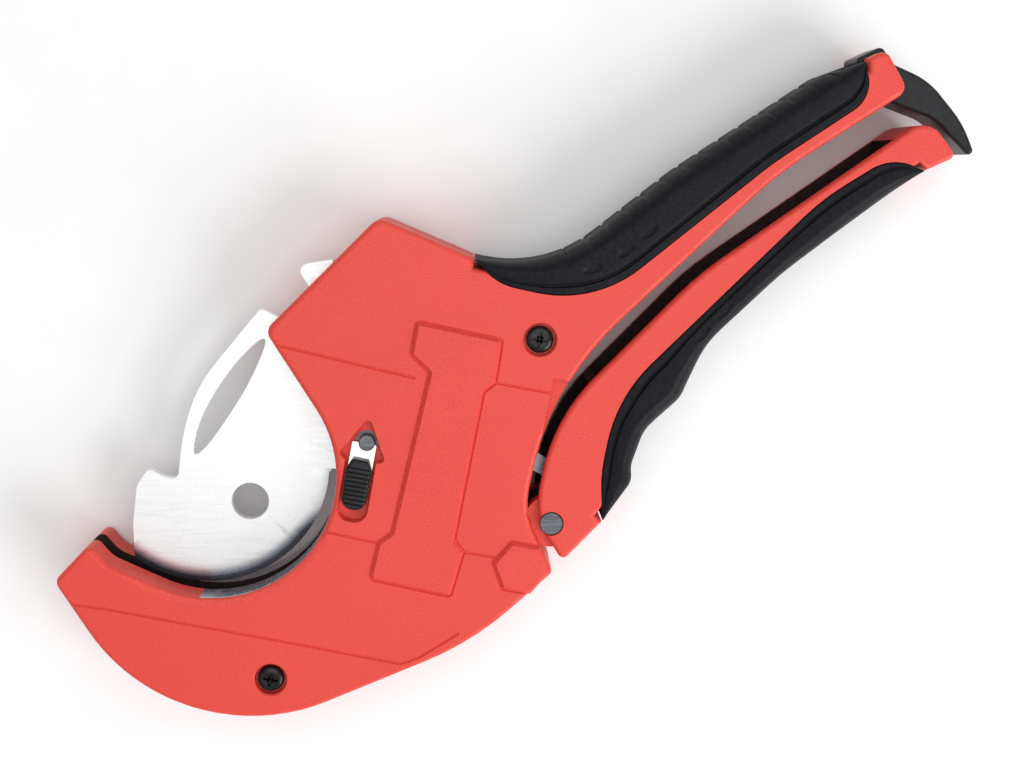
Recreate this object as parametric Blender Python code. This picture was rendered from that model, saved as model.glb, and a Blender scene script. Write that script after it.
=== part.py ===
"""Ratchet pipe cutter: two die-cast housings, a swinging blade, a pumping lower handle and a handle latch.

The design frame lies in the blade's plane: its origin is on the blade's pivot, +X runs along the housing
towards the handles, +Y towards the nose and +Z out of the front housing. Lengths are in millimetres until
they become vertices. An empty turns and lifts the design frame so that the cutter lies flat on its back.
"""

import math

import bmesh
import bpy
from mathutils import Matrix

MM = 0.001
ARC_STEP = 9.0  # degrees of arc for each facet
ROUND_SIDES = 24
SMALL_SIDES = 16
GAP = 0.3

# Where the design frame stands in the world
LIE_TURN = -10.9  # degrees about Z, so that the longest extent is along X
LIE_SHIFT = (-37.943, -13.706)
LIE_HEIGHT = 13.0

# Thicknesses, measured from the blade's plane
BODY_HALF = 12.0
BODY_CHAMFER = 0.8
PARTING = 0.15
BLADE_HALF = 1.2
SLOT_HALF = 2.6
WASHER_OUTER = 2.3
HOLLOW_HALF = 9.0
EAR_INNER = 9.3
GRIP_FLOOR = 10.8
GRIP_HALF = 13.0
GRIP_SKIN = 2.5
GRIP_CHAMFER = 1.0
GRIP_LAP = 2.0  # a sleeve's pocket runs this far past its seam
SEAT_OVERHANG = 3.0
CHANNEL_WEB = 2.8
HANDLE_CHAMFER = 0.8
LATCH_CHAMFER = 0.6
SPRING_LEAF_HALF = 1.5
LUG_INNER = 4.6
JAW_SLOT_HALF = 3.1
PAWL_HALF = 2.0
LATCH_HALF = 7.0
PANEL_RISE = 0.8

# Pivots
BLADE_PIN_R = 3.0
BLADE_NECK_R = 1.6
HANDLE_PIVOT = (51.7, -12.3)
HANDLE_PIN_R = 2.4
HANDLE_PIN_HEAD_R = 3.1
LUG_R = 7.0
SPRING_WIRE_R = 0.7
FIRST_LEG_ANGLE, COIL_TURN = 135.0, 1425.0  # degrees
DRIVE_PIVOT = (58.5, -3.5)
DRIVE_PIN_R = 1.6
HOLD_PIVOT = (29.3, -18.6)
HOLD_PIN_R = 1.6
LATCH_PIVOT = (112.4, 117.6)
LATCH_PIN_R = 1.6
PIN_PLAY = 0.06
PIN_HEAD_FLOOR = 10.9

# Mouth, blade and ratchet
MOUTH_CENTRE = (-39.0, -16.2)
MOUTH_R = 33.2
EDGE_CENTRE = (-41.8, -15.4)
EDGE_R = 33.1
JAW_SLOT_R = 39.7
SWEEP_R = 49.7
NOSE_SWEEP_R = 50.7  # the back of the blade passes here at the end of its swing
HEEL_R = 16.0
TOOTH_TIP_R = 25.0
TOOTH_ROOT_R = 23.2
TOOTH_PITCH = 6.0
FIRST_ROOT = -8.0
TOOTH_COUNT = 21
HUB_R = 8.5
BLADE_HOLE = (-28.3, -23.6)
BLADE_HOLE_R = 4.9
NOSE_R = 25.35
DRIVE_NOSE_ANGLE = 22.0
HOLD_NOSE_ANGLE = -8.0

# Fasteners
SCREWS = {"top": (39.2, 35.2), "jaw": (-13.9, -68.1)}
SCREW_HEAD_R = 3.5
SCREW_SHAFT_R = 1.9
SCREW_RECESS_R = 4.25
SCREW_SEAT = 9.6
SCREW_HEAD = [(SCREW_SHAFT_R, 9.9), (SCREW_HEAD_R, 9.9), (SCREW_HEAD_R, 11.2), (2.6, 11.9)]
SCREW_TAIL = 11.2
CORNER_SCREW_TAIL = 8.5
CROSS_LONG, CROSS_NARROW, CROSS_FLOOR = 1.9, 0.45, 10.8
NUT_R = 3.6
NUT_LEVELS = (-11.6, -9.5)
PIN_FAR_END = -11.8
CORNER_BOSS = (46.1, -25.6)
CORNER_BOSS_R = 7.5

# Blade-pin lock
LOCK_FLOOR = 9.4
LOCK_PLATE = (9.7, 10.25)
BUTTON_LEVELS = [(10.55, 0.0), (12.3, 0.0), (12.8, 0.5)]
BUTTON_RIBS = 5
RIB_TOP, RIB_PITCH, RIB_GAP = -8.6, 1.9, 0.8

RED = (0.78, 0.08, 0.05, 1.0)
BLACK = (0.02, 0.02, 0.022, 1.0)
STEEL = (0.55, 0.56, 0.58, 1.0)
BRIGHT = (0.82, 0.83, 0.85, 1.0)


def polar(radius, degrees, centre=(0.0, 0.0)):
    angle = math.radians(degrees)
    return (centre[0] + radius * math.cos(angle), centre[1] + radius * math.sin(angle))


def arc(centre, radius, start, end):
    steps = max(2, round(abs(end - start) / ARC_STEP))
    return [polar(radius, start + (end - start) * i / steps, centre) for i in range(steps + 1)]


def rounded(corners, closed=True):
    """Points along a polygon with rounded corners (x, y, radius); a corner of two numbers stays sharp."""
    points = []
    count = len(corners)
    for i, corner in enumerate(corners):
        radius = corner[2] if len(corner) > 2 else 0.0
        at_end = not closed and i in (0, count - 1)
        if radius == 0.0 or at_end:
            points.append((corner[0], corner[1]))
            continue
        before = corners[i - 1]
        after = corners[(i + 1) % count]
        come = math.atan2(corner[1] - before[1], corner[0] - before[0])
        leave = math.atan2(after[1] - corner[1], after[0] - corner[0])
        turn = math.remainder(leave - come, math.tau)
        back = radius * math.tan(abs(turn) / 2)
        side = math.copysign(1.0, turn)
        centre = (
            corner[0] - back * math.cos(come) - side * radius * math.sin(come),
            corner[1] - back * math.sin(come) + side * radius * math.cos(come),
        )
        start = math.degrees(come) - 90 * side
        points += arc(centre, radius, start, start + math.degrees(turn))
    return points


def offset(points, distance, closed=True):
    """The polyline moved to its left by a distance."""
    moved = []
    count = len(points)
    for i, (x, y) in enumerate(points):
        before = points[i - 1] if closed or i > 0 else (2 * x - points[1][0], 2 * y - points[1][1])
        last = not closed and i == count - 1
        after = (2 * x - before[0], 2 * y - before[1]) if last else points[(i + 1) % count]
        come = math.atan2(y - before[1], x - before[0])
        leave = math.atan2(after[1] - y, after[0] - x)
        half = math.remainder(leave - come, math.tau) / 2
        reach = distance / max(math.cos(half), 0.3)
        normal = come + half + math.pi / 2
        moved.append((x + reach * math.cos(normal), y + reach * math.sin(normal)))
    return moved


def anticlockwise(points):
    area = sum(a[0] * b[1] - b[0] * a[1] for a, b in zip(points, points[1:] + points[:1]))
    return points if area > 0 else points[::-1]


def slab(outline, levels):
    """A closed solid through the outline at each (z, inset) level, lowest level first."""
    outline = anticlockwise(outline)
    mesh = bmesh.new()
    rings = []
    for z, inset in levels:
        ring = offset(outline, inset) if inset else outline
        rings.append([mesh.verts.new((x * MM, y * MM, z * MM)) for x, y in ring])
    mesh.faces.new(rings[0][::-1])
    mesh.faces.new(rings[-1])
    for low, high in zip(rings, rings[1:]):
        for i in range(len(low)):
            j = (i + 1) % len(low)
            mesh.faces.new((low[i], low[j], high[j], high[i]))
    return mesh


def prism(outline, low, high):
    return slab(outline, [(low, 0.0), (high, 0.0)])


def turned(profile, centre, sides=ROUND_SIDES):
    """A solid of revolution about a vertical axis from (radius, z) pairs, lowest first, with flat ends."""
    mesh = bmesh.new()
    rings = []
    for radius, z in profile:
        ring = [polar(radius, 360 * i / sides, centre) for i in range(sides)]
        rings.append([mesh.verts.new((x * MM, y * MM, z * MM)) for x, y in ring])
    mesh.faces.new(rings[0][::-1])
    mesh.faces.new(rings[-1])
    for low, high in zip(rings, rings[1:]):
        for i in range(sides):
            j = (i + 1) % sides
            mesh.faces.new((low[i], low[j], high[j], high[i]))
    return mesh


def disc(centre, radius, low, high, sides=ROUND_SIDES):
    return turned([(radius, low), (radius, high)], centre, sides)


def hexagon(centre, radius):
    return [polar(radius, 60 * i, centre) for i in range(6)]


def mirrored(outline_levels):
    """The same levels on the other side of the blade's plane."""
    return [(-z, inset) for z, inset in reversed(outline_levels)]


class Workshop:
    """Makes the objects and keeps the frame empty and the materials that they share."""

    def __init__(self):
        for old in list(bpy.data.objects):
            bpy.data.objects.remove(old)
        self.frame = self.empty("cutter_frame", (0.0, 0.0), None)
        self.frame.location = (LIE_SHIFT[0] * MM, LIE_SHIFT[1] * MM, LIE_HEIGHT * MM)
        self.frame.rotation_euler = (0.0, 0.0, math.radians(LIE_TURN))
        self.cutters = 0

    def empty(self, name, pivot, parent):
        made = bpy.data.objects.new(name, None)
        made.location = (pivot[0] * MM, pivot[1] * MM, 0.0)
        made.parent = parent
        bpy.context.scene.collection.objects.link(made)
        return made

    def add(self, name, mesh, pivot):
        data = bpy.data.meshes.new(name)
        mesh.transform(Matrix.Translation((-pivot[0] * MM, -pivot[1] * MM, 0.0)))
        bmesh.ops.recalc_face_normals(mesh, faces=mesh.faces)
        mesh.to_mesh(data)
        mesh.free()
        made = bpy.data.objects.new(name, data)
        made.location = (pivot[0] * MM, pivot[1] * MM, 0.0)
        made.parent = self.frame
        bpy.context.scene.collection.objects.link(made)
        return made

    def node(self, name, mesh, colour, roughness, metallic, pivot=(0.0, 0.0)):
        made = self.add(name, mesh, pivot)
        material = bpy.data.materials.new(name)
        material.use_nodes = True
        shader = material.node_tree.nodes["Principled BSDF"]
        shader.inputs["Base Color"].default_value = colour
        shader.inputs["Roughness"].default_value = roughness
        shader.inputs["Metallic"].default_value = metallic
        made.data.materials.append(material)
        made.data.shade_smooth()
        made.data.set_sharp_from_angle(angle=math.radians(30))
        return made

    def change(self, target, mesh, operation):
        """Cuts a helper shape from the target, or joins it on."""
        self.cutters += 1
        helper = self.add(f"helper_{self.cutters:03d}", mesh, (0.0, 0.0))
        helper.hide_render = True
        helper.display_type = "WIRE"
        modifier = target.modifiers.new(helper.name, "BOOLEAN")
        modifier.operation = operation
        modifier.object = helper
        modifier.solver = "EXACT"

    def cut(self, target, *meshes):
        for mesh in meshes:
            self.change(target, mesh, "DIFFERENCE")

    def join(self, target, *meshes):
        for mesh in meshes:
            self.change(target, mesh, "UNION")


def red_metal(shop, name, mesh, pivot=(0.0, 0.0)):
    return shop.node(name, mesh, RED, 0.42, 0.15, pivot)


def black_rubber(shop, name, mesh, pivot=(0.0, 0.0)):
    return shop.node(name, mesh, BLACK, 0.5, 0.0, pivot)


def black_plastic(shop, name, mesh, pivot=(0.0, 0.0)):
    return shop.node(name, mesh, BLACK, 0.35, 0.0, pivot)


def plain_steel(shop, name, mesh, pivot=(0.0, 0.0)):
    return shop.node(name, mesh, STEEL, 0.3, 1.0, pivot)


# Outlines


def upper_grip_crest():
    return rounded(
        [(18.7, 52.6), (38.0, 52.9, 36.0), (66.0, 84.8, 60.0), (97.5, 115.2, 6.0), (106.6, 120.4)],
        closed=False,
    )


def upper_grip_seam():
    return rounded(
        [
            (18.7, 52.6),
            (25.5, 47.3, 15.0),
            (51.2, 46.6, 32.0),
            (89.0, 91.0, 80.0),
            (110.3, 111.8, 8.0),
            (106.6, 120.4),
        ],
        closed=False,
    )


def lower_grip_crest():
    return rounded(
        [
            (128.0, 96.6),
            (98.0, 63.5, 80.0),
            (82.5, 42.0, 25.0),
            (79.2, 26.6, 9.0),
            (71.4, 16.2, 10.0),
            (69.9, 6.5, 6.0),
            (71.0, 2.0, 4.5),
            (64.9, -9.2),
        ],
        closed=False,
    )


def lower_grip_seam():
    return rounded(
        [
            (128.0, 96.6),
            (118.5, 98.4, 12.0),
            (103.5, 84.6, 60.0),
            (61.9, 24.2, 40.0),
            (61.9, 3.0, 40.0),
            (64.9, -9.2),
        ],
        closed=False,
    )


def grip_solid(shop, name, crest, seam, pivot=(0.0, 0.0)):
    """A sleeve over a handle's outer edge, open towards the seam. Crest and seam share their two ends."""
    levels = [(GRIP_HALF - GRIP_CHAMFER, 0.0), (GRIP_HALF, GRIP_CHAMFER)]
    grip = black_rubber(shop, name, slab(crest + seam[-2:0:-1], mirrored(levels) + levels), pivot)
    inner = offset(crest, GAP - GRIP_SKIN, closed=False)
    wide = offset(seam, -GRIP_LAP, closed=False)
    shop.cut(grip, prism(inner + wide[::-1], -GRIP_FLOOR, GRIP_FLOOR))
    return grip


def grip_seat(crest, seam):
    """The outline of the recess a sleeve lies in."""
    return offset(crest, SEAT_OVERHANG, closed=False) + offset(seam, -GAP, closed=False)[::-1]


def housing_outline():
    """Clockwise from the nose: top edge, core of the upper grip, handle end, rear, belly, hook, mouth."""
    nose = rounded([(-14.6, 6.3), (-31.0, 24.1, 3.0), (-7.5, 58.3, 4.0), (17.5, 52.8)], closed=False)
    core = offset(upper_grip_crest(), -GRIP_SKIN, closed=False)
    rest = rounded(
        [
            (107.1, 121.4),
            (111.3, 124.4, 2.5),
            (119.3, 115.5, 3.0),
            (91.3, 88.9, 100.0),
            (44.2, 23.7, 78.0),
            (44.2, -10.9, 20.0),
            (54.8, -25.4, 1.5),
            (37.15, -48.6, 80.0),
            (-10.8, -80.3, 50.0),
            (-48.6, -80.3, 50.0),
            (-74.3, -51.9, 2.5),
            (-66.8, -40.3, 1.5),
            (-61.5, -44.7, 8.0),
            polar(MOUTH_R, -105.0, MOUTH_CENTRE),
        ],
        closed=False,
    )
    return nose + core + rest[:-1] + arc(MOUTH_CENTRE, MOUTH_R, -105.0, 42.7)[:-1]


def blade_outline():
    """The cutting arc, the back with its hooks, the fin, then the toothed sector and the lower hub."""
    edge = arc(EDGE_CENTRE, EDGE_R, 6.0, -116.2)
    back = [
        (-58.2, -36.0, 15.0),
        (-58.9, -25.0, 5.0),
        (-56.6, -19.6, 1.6),
        (-52.0, -21.1, 3.0),
        (-48.3, -21.1, 1.6),
        (-49.2, -8.5, 25.0),
        (-47.0, 5.5, 25.0),
        (-34.2, 28.6, 1.8),
        (-29.4, 27.2, 0.5),
        (-26.0, 27.2, 2.0),
        (-21.6, 35.2, 1.0),
        (-27.3, 41.3, 1.4),
        (-17.7, 44.8, 0.6),
        polar(30.0, 111.0),
        polar(TOOTH_TIP_R, 118.5),
    ]
    teeth = []
    for i in range(TOOTH_COUNT):
        root = FIRST_ROOT + i * TOOTH_PITCH
        teeth.append(polar(TOOTH_TIP_R, root - 4.2))
        teeth.append(polar(TOOTH_ROOT_R, root + 0.3))
        teeth.append(polar(TOOTH_TIP_R, root + 1.3))
    hub = arc((0.0, 0.0), HUB_R, -32.0, -105.0)
    return rounded(edge + back + teeth[:0:-1] + hub)


def blade_window():
    return rounded(
        [
            (-45.3, -12.9, 1.5),
            (-44.6, -5.5, 12.0),
            (-36.4, 16.5, 14.0),
            (-30.4, 22.3, 1.6),
            (-31.6, 10.0, 14.0),
            (-37.5, -4.5, 20.0),
            (-41.5, -12.2, 2.0),
        ]
    )


# Housing


def shell_blank(outline, side):
    levels = [(PARTING, 0.0), (BODY_HALF - BODY_CHAMFER, 0.0), (BODY_HALF, BODY_CHAMFER)]
    return slab(outline, levels if side > 0 else mirrored(levels))


def on_side(side, low, high):
    """A z range given for the front shell, for either shell."""
    return (low, high) if side > 0 else (-high, -low)


def mechanism_cutters():
    """The room between the shells for the swinging blade, the two pawls and the spring."""
    sweep = [(0.0, 0.0)] + arc((0.0, 0.0), SWEEP_R, -20.0, 160.0)
    nose = [(0.0, 0.0)] + arc((0.0, 0.0), NOSE_SWEEP_R, 88.0, 160.0)
    teeth = [(0.0, 0.0)] + arc((0.0, 0.0), TOOTH_TIP_R + 0.6, -104.0, -10.0)
    heel = [(0.0, 0.0)] + arc((0.0, 0.0), HEEL_R, 150.0, 262.0)
    jaw = [MOUTH_CENTRE] + arc(MOUTH_CENTRE, JAW_SLOT_R, -150.0, 20.0)
    hold = [(19.5, -14.0), (22.5, -24.0), (31.0, -24.0), (36.0, -16.0), (36.0, 0.0), (24.0, 0.0)]
    return [
        prism(sweep, -SLOT_HALF, SLOT_HALF),
        prism(nose, -SLOT_HALF, SLOT_HALF),
        prism(teeth, -SLOT_HALF, SLOT_HALF),
        prism(heel, -SLOT_HALF, SLOT_HALF),
        disc((0.0, 0.0), HUB_R + 0.5, -SLOT_HALF, SLOT_HALF),
        prism(jaw, -JAW_SLOT_HALF, JAW_SLOT_HALF),
        prism(hold, -SLOT_HALF, SLOT_HALF),
        prism([(40.0, -17.0), (70.0, -17.0), (70.0, 12.0), (40.0, 12.0)], -SLOT_HALF, SLOT_HALF),
    ]


def handle_hollow():
    """The inside of the fixed handle, open at its end for the latch."""
    return rounded(
        [
            (57.5, 54.0, 1.5),
            (69.8, 80.6, 40.0),
            (100.5, 109.8, 3.0),
            (106.5, 113.5),
            (109.0, 121.5),
            (126.0, 128.0),
            (126.0, 104.0),
            (116.5, 108.0),
            (112.0, 111.8),
            (88.1, 89.6, 60.0),
            (62.0, 53.5, 1.5),
        ]
    )


def panel_outline():
    return rounded(
        [
            (7.1, 33.8, 1.0),
            (29.5, 33.3, 1.0),
            (29.9, 21.9, 1.0),
            (27.3, 19.0, 1.0),
            (27.2, -21.3, 1.0),
            (30.2, -24.1, 1.0),
            (29.0, -36.6, 1.0),
            (7.3, -35.8, 1.0),
            (7.7, -25.8, 1.0),
            (10.8, -22.4, 1.0),
            (12.8, 21.6, 1.0),
            (7.2, 25.1, 1.0),
        ]
    )


def arrow_outline():
    return rounded(
        [
            (-0.6, 6.8, 1.0),
            (5.4, -4.0, 0.8),
            (3.1, -4.7),
            (3.3, -21.3, 3.4),
            (-4.4, -21.3, 3.4),
            (-4.5, -5.3),
            (-6.6, -3.8, 0.8),
        ]
    )


def shell(shop, name, side):
    made = red_metal(shop, name, shell_blank(housing_outline(), side))
    shop.join(made, disc(HANDLE_PIVOT, LUG_R, *on_side(side, PARTING, HOLLOW_HALF)))
    raised = [(BODY_HALF - 1.0, 0.0), (BODY_HALF, 0.0), (BODY_HALF + PANEL_RISE, 0.7)]
    boss = hexagon(CORNER_BOSS, CORNER_BOSS_R)
    for outline in (panel_outline(), boss):
        shop.join(made, slab(outline, raised if side > 0 else mirrored(raised)))
    shop.cut(made, *mechanism_cutters())
    ear = [(44.6, 26.0), (44.6, -10.9), (55.2, -25.4), (75.0, -25.4), (75.0, 26.0)]
    shop.cut(made, prism(ear, *on_side(side, HOLLOW_HALF, BODY_HALF + 3.0)))
    shop.cut(made, disc(HANDLE_PIVOT, LUG_R + 1.0, -LUG_INNER, LUG_INNER))
    shop.cut(made, prism(spring_leg_room(), -LUG_INNER, LUG_INNER))
    shop.cut(made, prism(handle_hollow(), -EAR_INNER, EAR_INNER))
    shop.cut(made, prism(knob_room(), -LATCH_HALF - 0.5, LATCH_HALF + 0.5))
    seat = grip_seat(upper_grip_crest(), upper_grip_seam())
    shop.cut(made, prism(seat, *on_side(side, GRIP_FLOOR - GAP, BODY_HALF + 3.0)))
    return made


def near_shell(shop):
    made = shell(shop, "near_shell", 1)
    shop.cut(made, prism(arrow_outline(), LOCK_FLOOR, BODY_HALF + 2))
    shop.cut(made, disc((0.0, 0.0), BLADE_PIN_R + PIN_PLAY, -1.0, LOCK_FLOOR + 1))
    for at in SCREWS.values():
        shop.cut(made, disc(at, SCREW_RECESS_R, SCREW_SEAT, BODY_HALF + 1))
        shop.cut(made, disc(at, SCREW_SHAFT_R + GAP, -1.0, SCREW_SEAT + 1))
    shop.cut(made, disc(CORNER_BOSS, SCREW_SHAFT_R + GAP, -1.0, 9.0))
    shop.cut(made, disc(HANDLE_PIVOT, HANDLE_PIN_R + GAP, 0.0, BODY_HALF))
    shop.cut(made, disc(HOLD_PIVOT, HOLD_PIN_R + PIN_PLAY, -1.0, 9.0, SMALL_SIDES))
    shop.cut(made, disc(LATCH_PIVOT, LATCH_PIN_R + PIN_PLAY, 0.0, 11.0, SMALL_SIDES))


def far_shell(shop):
    made = shell(shop, "far_shell", -1)
    shop.cut(made, disc((0.0, 0.0), 5.0, -BODY_HALF - 1, -9.6))
    shop.cut(made, disc((0.0, 0.0), BLADE_PIN_R + PIN_PLAY, -10.0, 1.0))
    for at in SCREWS.values():
        shop.cut(made, prism(hexagon(at, NUT_R + 0.35), -BODY_HALF - 1, -9.2))
        shop.cut(made, disc(at, SCREW_SHAFT_R + GAP, -10.0, 1.0))
    shop.cut(made, disc(CORNER_BOSS, SCREW_RECESS_R, -BODY_HALF - 2, -SCREW_SEAT))
    shop.cut(made, disc(CORNER_BOSS, SCREW_SHAFT_R + GAP, -10.0, 1.0))
    shop.cut(made, disc(HANDLE_PIVOT, HANDLE_PIN_R + GAP, -BODY_HALF, 0.0))
    shop.cut(made, disc(HOLD_PIVOT, HOLD_PIN_R + PIN_PLAY, -BODY_HALF - 1, 1.0, SMALL_SIDES))
    shop.cut(made, disc(LATCH_PIVOT, LATCH_PIN_R + PIN_PLAY, -BODY_HALF - 1, 0.0, SMALL_SIDES))


def spring_leg_room():
    return [(49.6, -10.4), (38.0, -22.2), (35.6, -19.8), (47.2, -7.9)]


def knob_room():
    return [(101.0, 115.0), (105.0, 128.0), (117.0, 128.0), (112.0, 112.0)]


# Blade, pins and the lock


def blade(shop):
    made = plain_steel(shop, "blade", prism(blade_outline(), -BLADE_HALF, BLADE_HALF))
    made.data.materials[0].node_tree.nodes["Principled BSDF"].inputs["Base Color"].default_value = BRIGHT
    shop.cut(made, prism(blade_window(), -3.0, 3.0))
    shop.cut(made, disc(BLADE_HOLE, BLADE_HOLE_R, -3.0, 3.0))
    shop.cut(made, disc((0.0, 0.0), BLADE_PIN_R + PIN_PLAY, -3.0, 3.0))


def blade_washers(shop):
    for name, side in (("near", 1), ("far", -1)):
        levels = on_side(side, BLADE_HALF + 0.15, WASHER_OUTER)
        made = plain_steel(shop, f"blade_washer_{name}", disc((0.0, 0.0), HUB_R - 1.5, *levels))
        shop.cut(made, disc((0.0, 0.0), BLADE_PIN_R + PIN_PLAY, -4.0, 4.0))


def blade_pivot_pin(shop):
    profile = [
        (4.5, -11.6),
        (4.5, -9.9),
        (BLADE_PIN_R, -9.9),
        (BLADE_PIN_R, 9.2),
        (BLADE_NECK_R, 9.2),
        (BLADE_NECK_R, 10.6),
        (2.2, 10.6),
        (2.2, 11.4),
    ]
    plain_steel(shop, "blade_pivot_pin", turned(profile, (0.0, 0.0)))


def lock(shop):
    plate = rounded([(-3.9, -15.5, 1.0), (-3.9, -0.3, 0.4), (2.7, -0.3, 0.4), (2.7, -15.5, 1.0)])
    made = plain_steel(shop, "lock_plate", prism(plate, *LOCK_PLATE))
    made.data.materials[0].node_tree.nodes["Principled BSDF"].inputs["Base Color"].default_value = BRIGHT
    fork = arc((0.0, 0.0), 1.8, -180.0, 0.0) + [(1.8, 4.0), (-1.8, 4.0)]
    shop.cut(made, prism(fork, 9.0, 11.0))
    button = rounded(
        [
            (-2.9, -5.0, 0.5),
            (0.2, -5.0, 0.5),
            (1.6, -8.0, 1.5),
            (1.6, -18.2, 2.0),
            (-3.8, -18.2, 2.0),
            (-4.0, -8.0),
        ]
    )
    made = black_plastic(shop, "lock_button", slab(button, BUTTON_LEVELS))
    for i in range(BUTTON_RIBS):
        y = RIB_TOP - RIB_PITCH * i
        groove = [(-6.0, y), (4.0, y), (4.0, y - RIB_GAP), (-6.0, y - RIB_GAP)]
        shop.cut(made, prism(groove, 12.2, 14.0))


def handle_pivot_pin(shop):
    profile = [
        (HANDLE_PIN_HEAD_R, -BODY_HALF),
        (HANDLE_PIN_HEAD_R, -PIN_HEAD_FLOOR),
        (HANDLE_PIN_R, -PIN_HEAD_FLOOR),
        (HANDLE_PIN_R, PIN_HEAD_FLOOR),
        (HANDLE_PIN_HEAD_R, PIN_HEAD_FLOOR),
        (HANDLE_PIN_HEAD_R, BODY_HALF),
    ]
    plain_steel(shop, "handle_pivot_pin", turned(profile, HANDLE_PIVOT))


def cross_bars(at, low, high):
    """The two bars of a screw's cross recess."""
    bars = []
    for half_x, half_y in ((CROSS_LONG, CROSS_NARROW), (CROSS_NARROW, CROSS_LONG)):
        corners = [(-half_x, -half_y), (half_x, -half_y), (half_x, half_y), (-half_x, half_y)]
        bars.append(prism([(at[0] + x, at[1] + y) for x, y in corners], low, high))
    return bars


def screws(shop):
    top = BODY_HALF + 1.0
    for name, at in SCREWS.items():
        profile = [(SCREW_SHAFT_R, -SCREW_TAIL)] + SCREW_HEAD
        made = black_plastic(shop, f"screw_{name}", turned(profile, at))
        shop.cut(made, *cross_bars(at, CROSS_FLOOR, top))
        made = plain_steel(shop, f"nut_{name}", prism(hexagon(at, NUT_R), *NUT_LEVELS))
        shop.cut(made, disc(at, SCREW_SHAFT_R + 0.15, -top, -8.0))
    profile = [(radius, -z) for radius, z in reversed(SCREW_HEAD)] + [(SCREW_SHAFT_R, CORNER_SCREW_TAIL)]
    made = black_plastic(shop, "screw_corner", turned(profile, CORNER_BOSS))
    shop.cut(made, *cross_bars(CORNER_BOSS, -top, -CROSS_FLOOR))


# Moving handle


def moving_handle_outline():
    """Anticlockwise from the ear's corner: outer edge under the grip, free end, inner edge, ear."""
    core = offset(lower_grip_crest(), -GRIP_SKIN, closed=False)[::-1]
    rest = rounded(
        [
            (128.4, 96.9),
            (135.4, 101.8, 1.0),
            (125.7, 110.1, 6.0),
            (76.5, 59.5, 80.0),
            (46.8, 15.1, 50.0),
            (46.9, -11.0, 20.0),
            (56.6, -22.0, 1.0),
            (64.5, -9.9),
        ],
        closed=False,
    )
    return core + rest


def handle_channel():
    """The inside of the channel: open towards the fixed handle and round the pivot lug."""
    inner = offset(lower_grip_crest(), -GRIP_SKIN - CHANNEL_WEB, closed=False)[::-1]
    web = [at for at in inner if 4.0 < at[1] < 94.0]
    opening = [(122.0, 98.5), (112.0, 112.0), (70.0, 70.0), (35.0, 20.0), (35.0, -30.0)]
    return [(50.0, -30.0), (54.9, -20.9), (64.6, -4.6)] + web + opening


def moving_handle(shop):
    levels = [(BODY_HALF - HANDLE_CHAMFER, 0.0), (BODY_HALF, HANDLE_CHAMFER)]
    levels = mirrored(levels) + levels
    made = red_metal(shop, "moving_handle", slab(moving_handle_outline(), levels), HANDLE_PIVOT)
    shop.cut(made, prism(handle_channel(), -EAR_INNER, EAR_INNER))
    shop.cut(made, disc(HANDLE_PIVOT, LUG_R + 0.4, -EAR_INNER, EAR_INNER))
    shop.cut(made, disc(HANDLE_PIVOT, HANDLE_PIN_R + PIN_PLAY, -BODY_HALF - 1, BODY_HALF + 1))
    for low, high in ((-BODY_HALF - 1, -10.6), (10.6, BODY_HALF + 1)):
        shop.cut(made, disc(HANDLE_PIVOT, HANDLE_PIN_HEAD_R + GAP, low, high))
    shop.cut(made, disc(DRIVE_PIVOT, DRIVE_PIN_R + PIN_PLAY, -BODY_HALF - 1, 10.6, SMALL_SIDES))
    seat = grip_seat(lower_grip_crest(), lower_grip_seam())
    for low, high in ((-BODY_HALF - 1, GAP - GRIP_FLOOR), (GRIP_FLOOR - GAP, BODY_HALF + 1)):
        shop.cut(made, prism(seat, low, high))


def bar_pawl(tip, pivot, half_width, boss, slope):
    """A pawl from a boss at its pivot to a wedge at its tip. The slope turns the wedge's lower flank."""
    way = math.atan2(tip[1] - pivot[1], tip[0] - pivot[0])
    length = math.dist(tip, pivot)

    def place(along, across):
        return (
            pivot[0] + along * math.cos(way) - across * math.sin(way),
            pivot[1] + along * math.sin(way) + across * math.cos(way),
        )

    start = math.degrees(math.asin(half_width / boss))
    round_end = [
        place(*polar(boss, angle)) for angle in (start + (360 - 2 * start) * i / 14 for i in range(15))
    ]
    low, high = slope
    wedge = [place(length - low, -half_width), place(length, 0.0), place(length - high, half_width)]
    return round_end + wedge


def drive_pawl(shop):
    tip = polar(NOSE_R, DRIVE_NOSE_ANGLE)
    outline = bar_pawl(tip, DRIVE_PIVOT, 2.6, 3.4, (1.2, 8.0))
    made = plain_steel(shop, "drive_pawl", prism(outline, -PAWL_HALF, PAWL_HALF), DRIVE_PIVOT)
    shop.cut(made, disc(DRIVE_PIVOT, DRIVE_PIN_R + PIN_PLAY, -4.0, 4.0, SMALL_SIDES))
    pin = disc(DRIVE_PIVOT, DRIVE_PIN_R, PIN_FAR_END, 10.3, SMALL_SIDES)
    plain_steel(shop, "drive_pawl_pin", pin, HANDLE_PIVOT)
    leaf = [(64.2, 6.6), (58.0, 2.8), (49.5, 4.3), (49.4, 3.6), (58.1, 2.0), (64.6, 6.0)]
    plain_steel(shop, "drive_pawl_spring", prism(leaf, -SPRING_LEAF_HALF, SPRING_LEAF_HALF), HANDLE_PIVOT)


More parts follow.
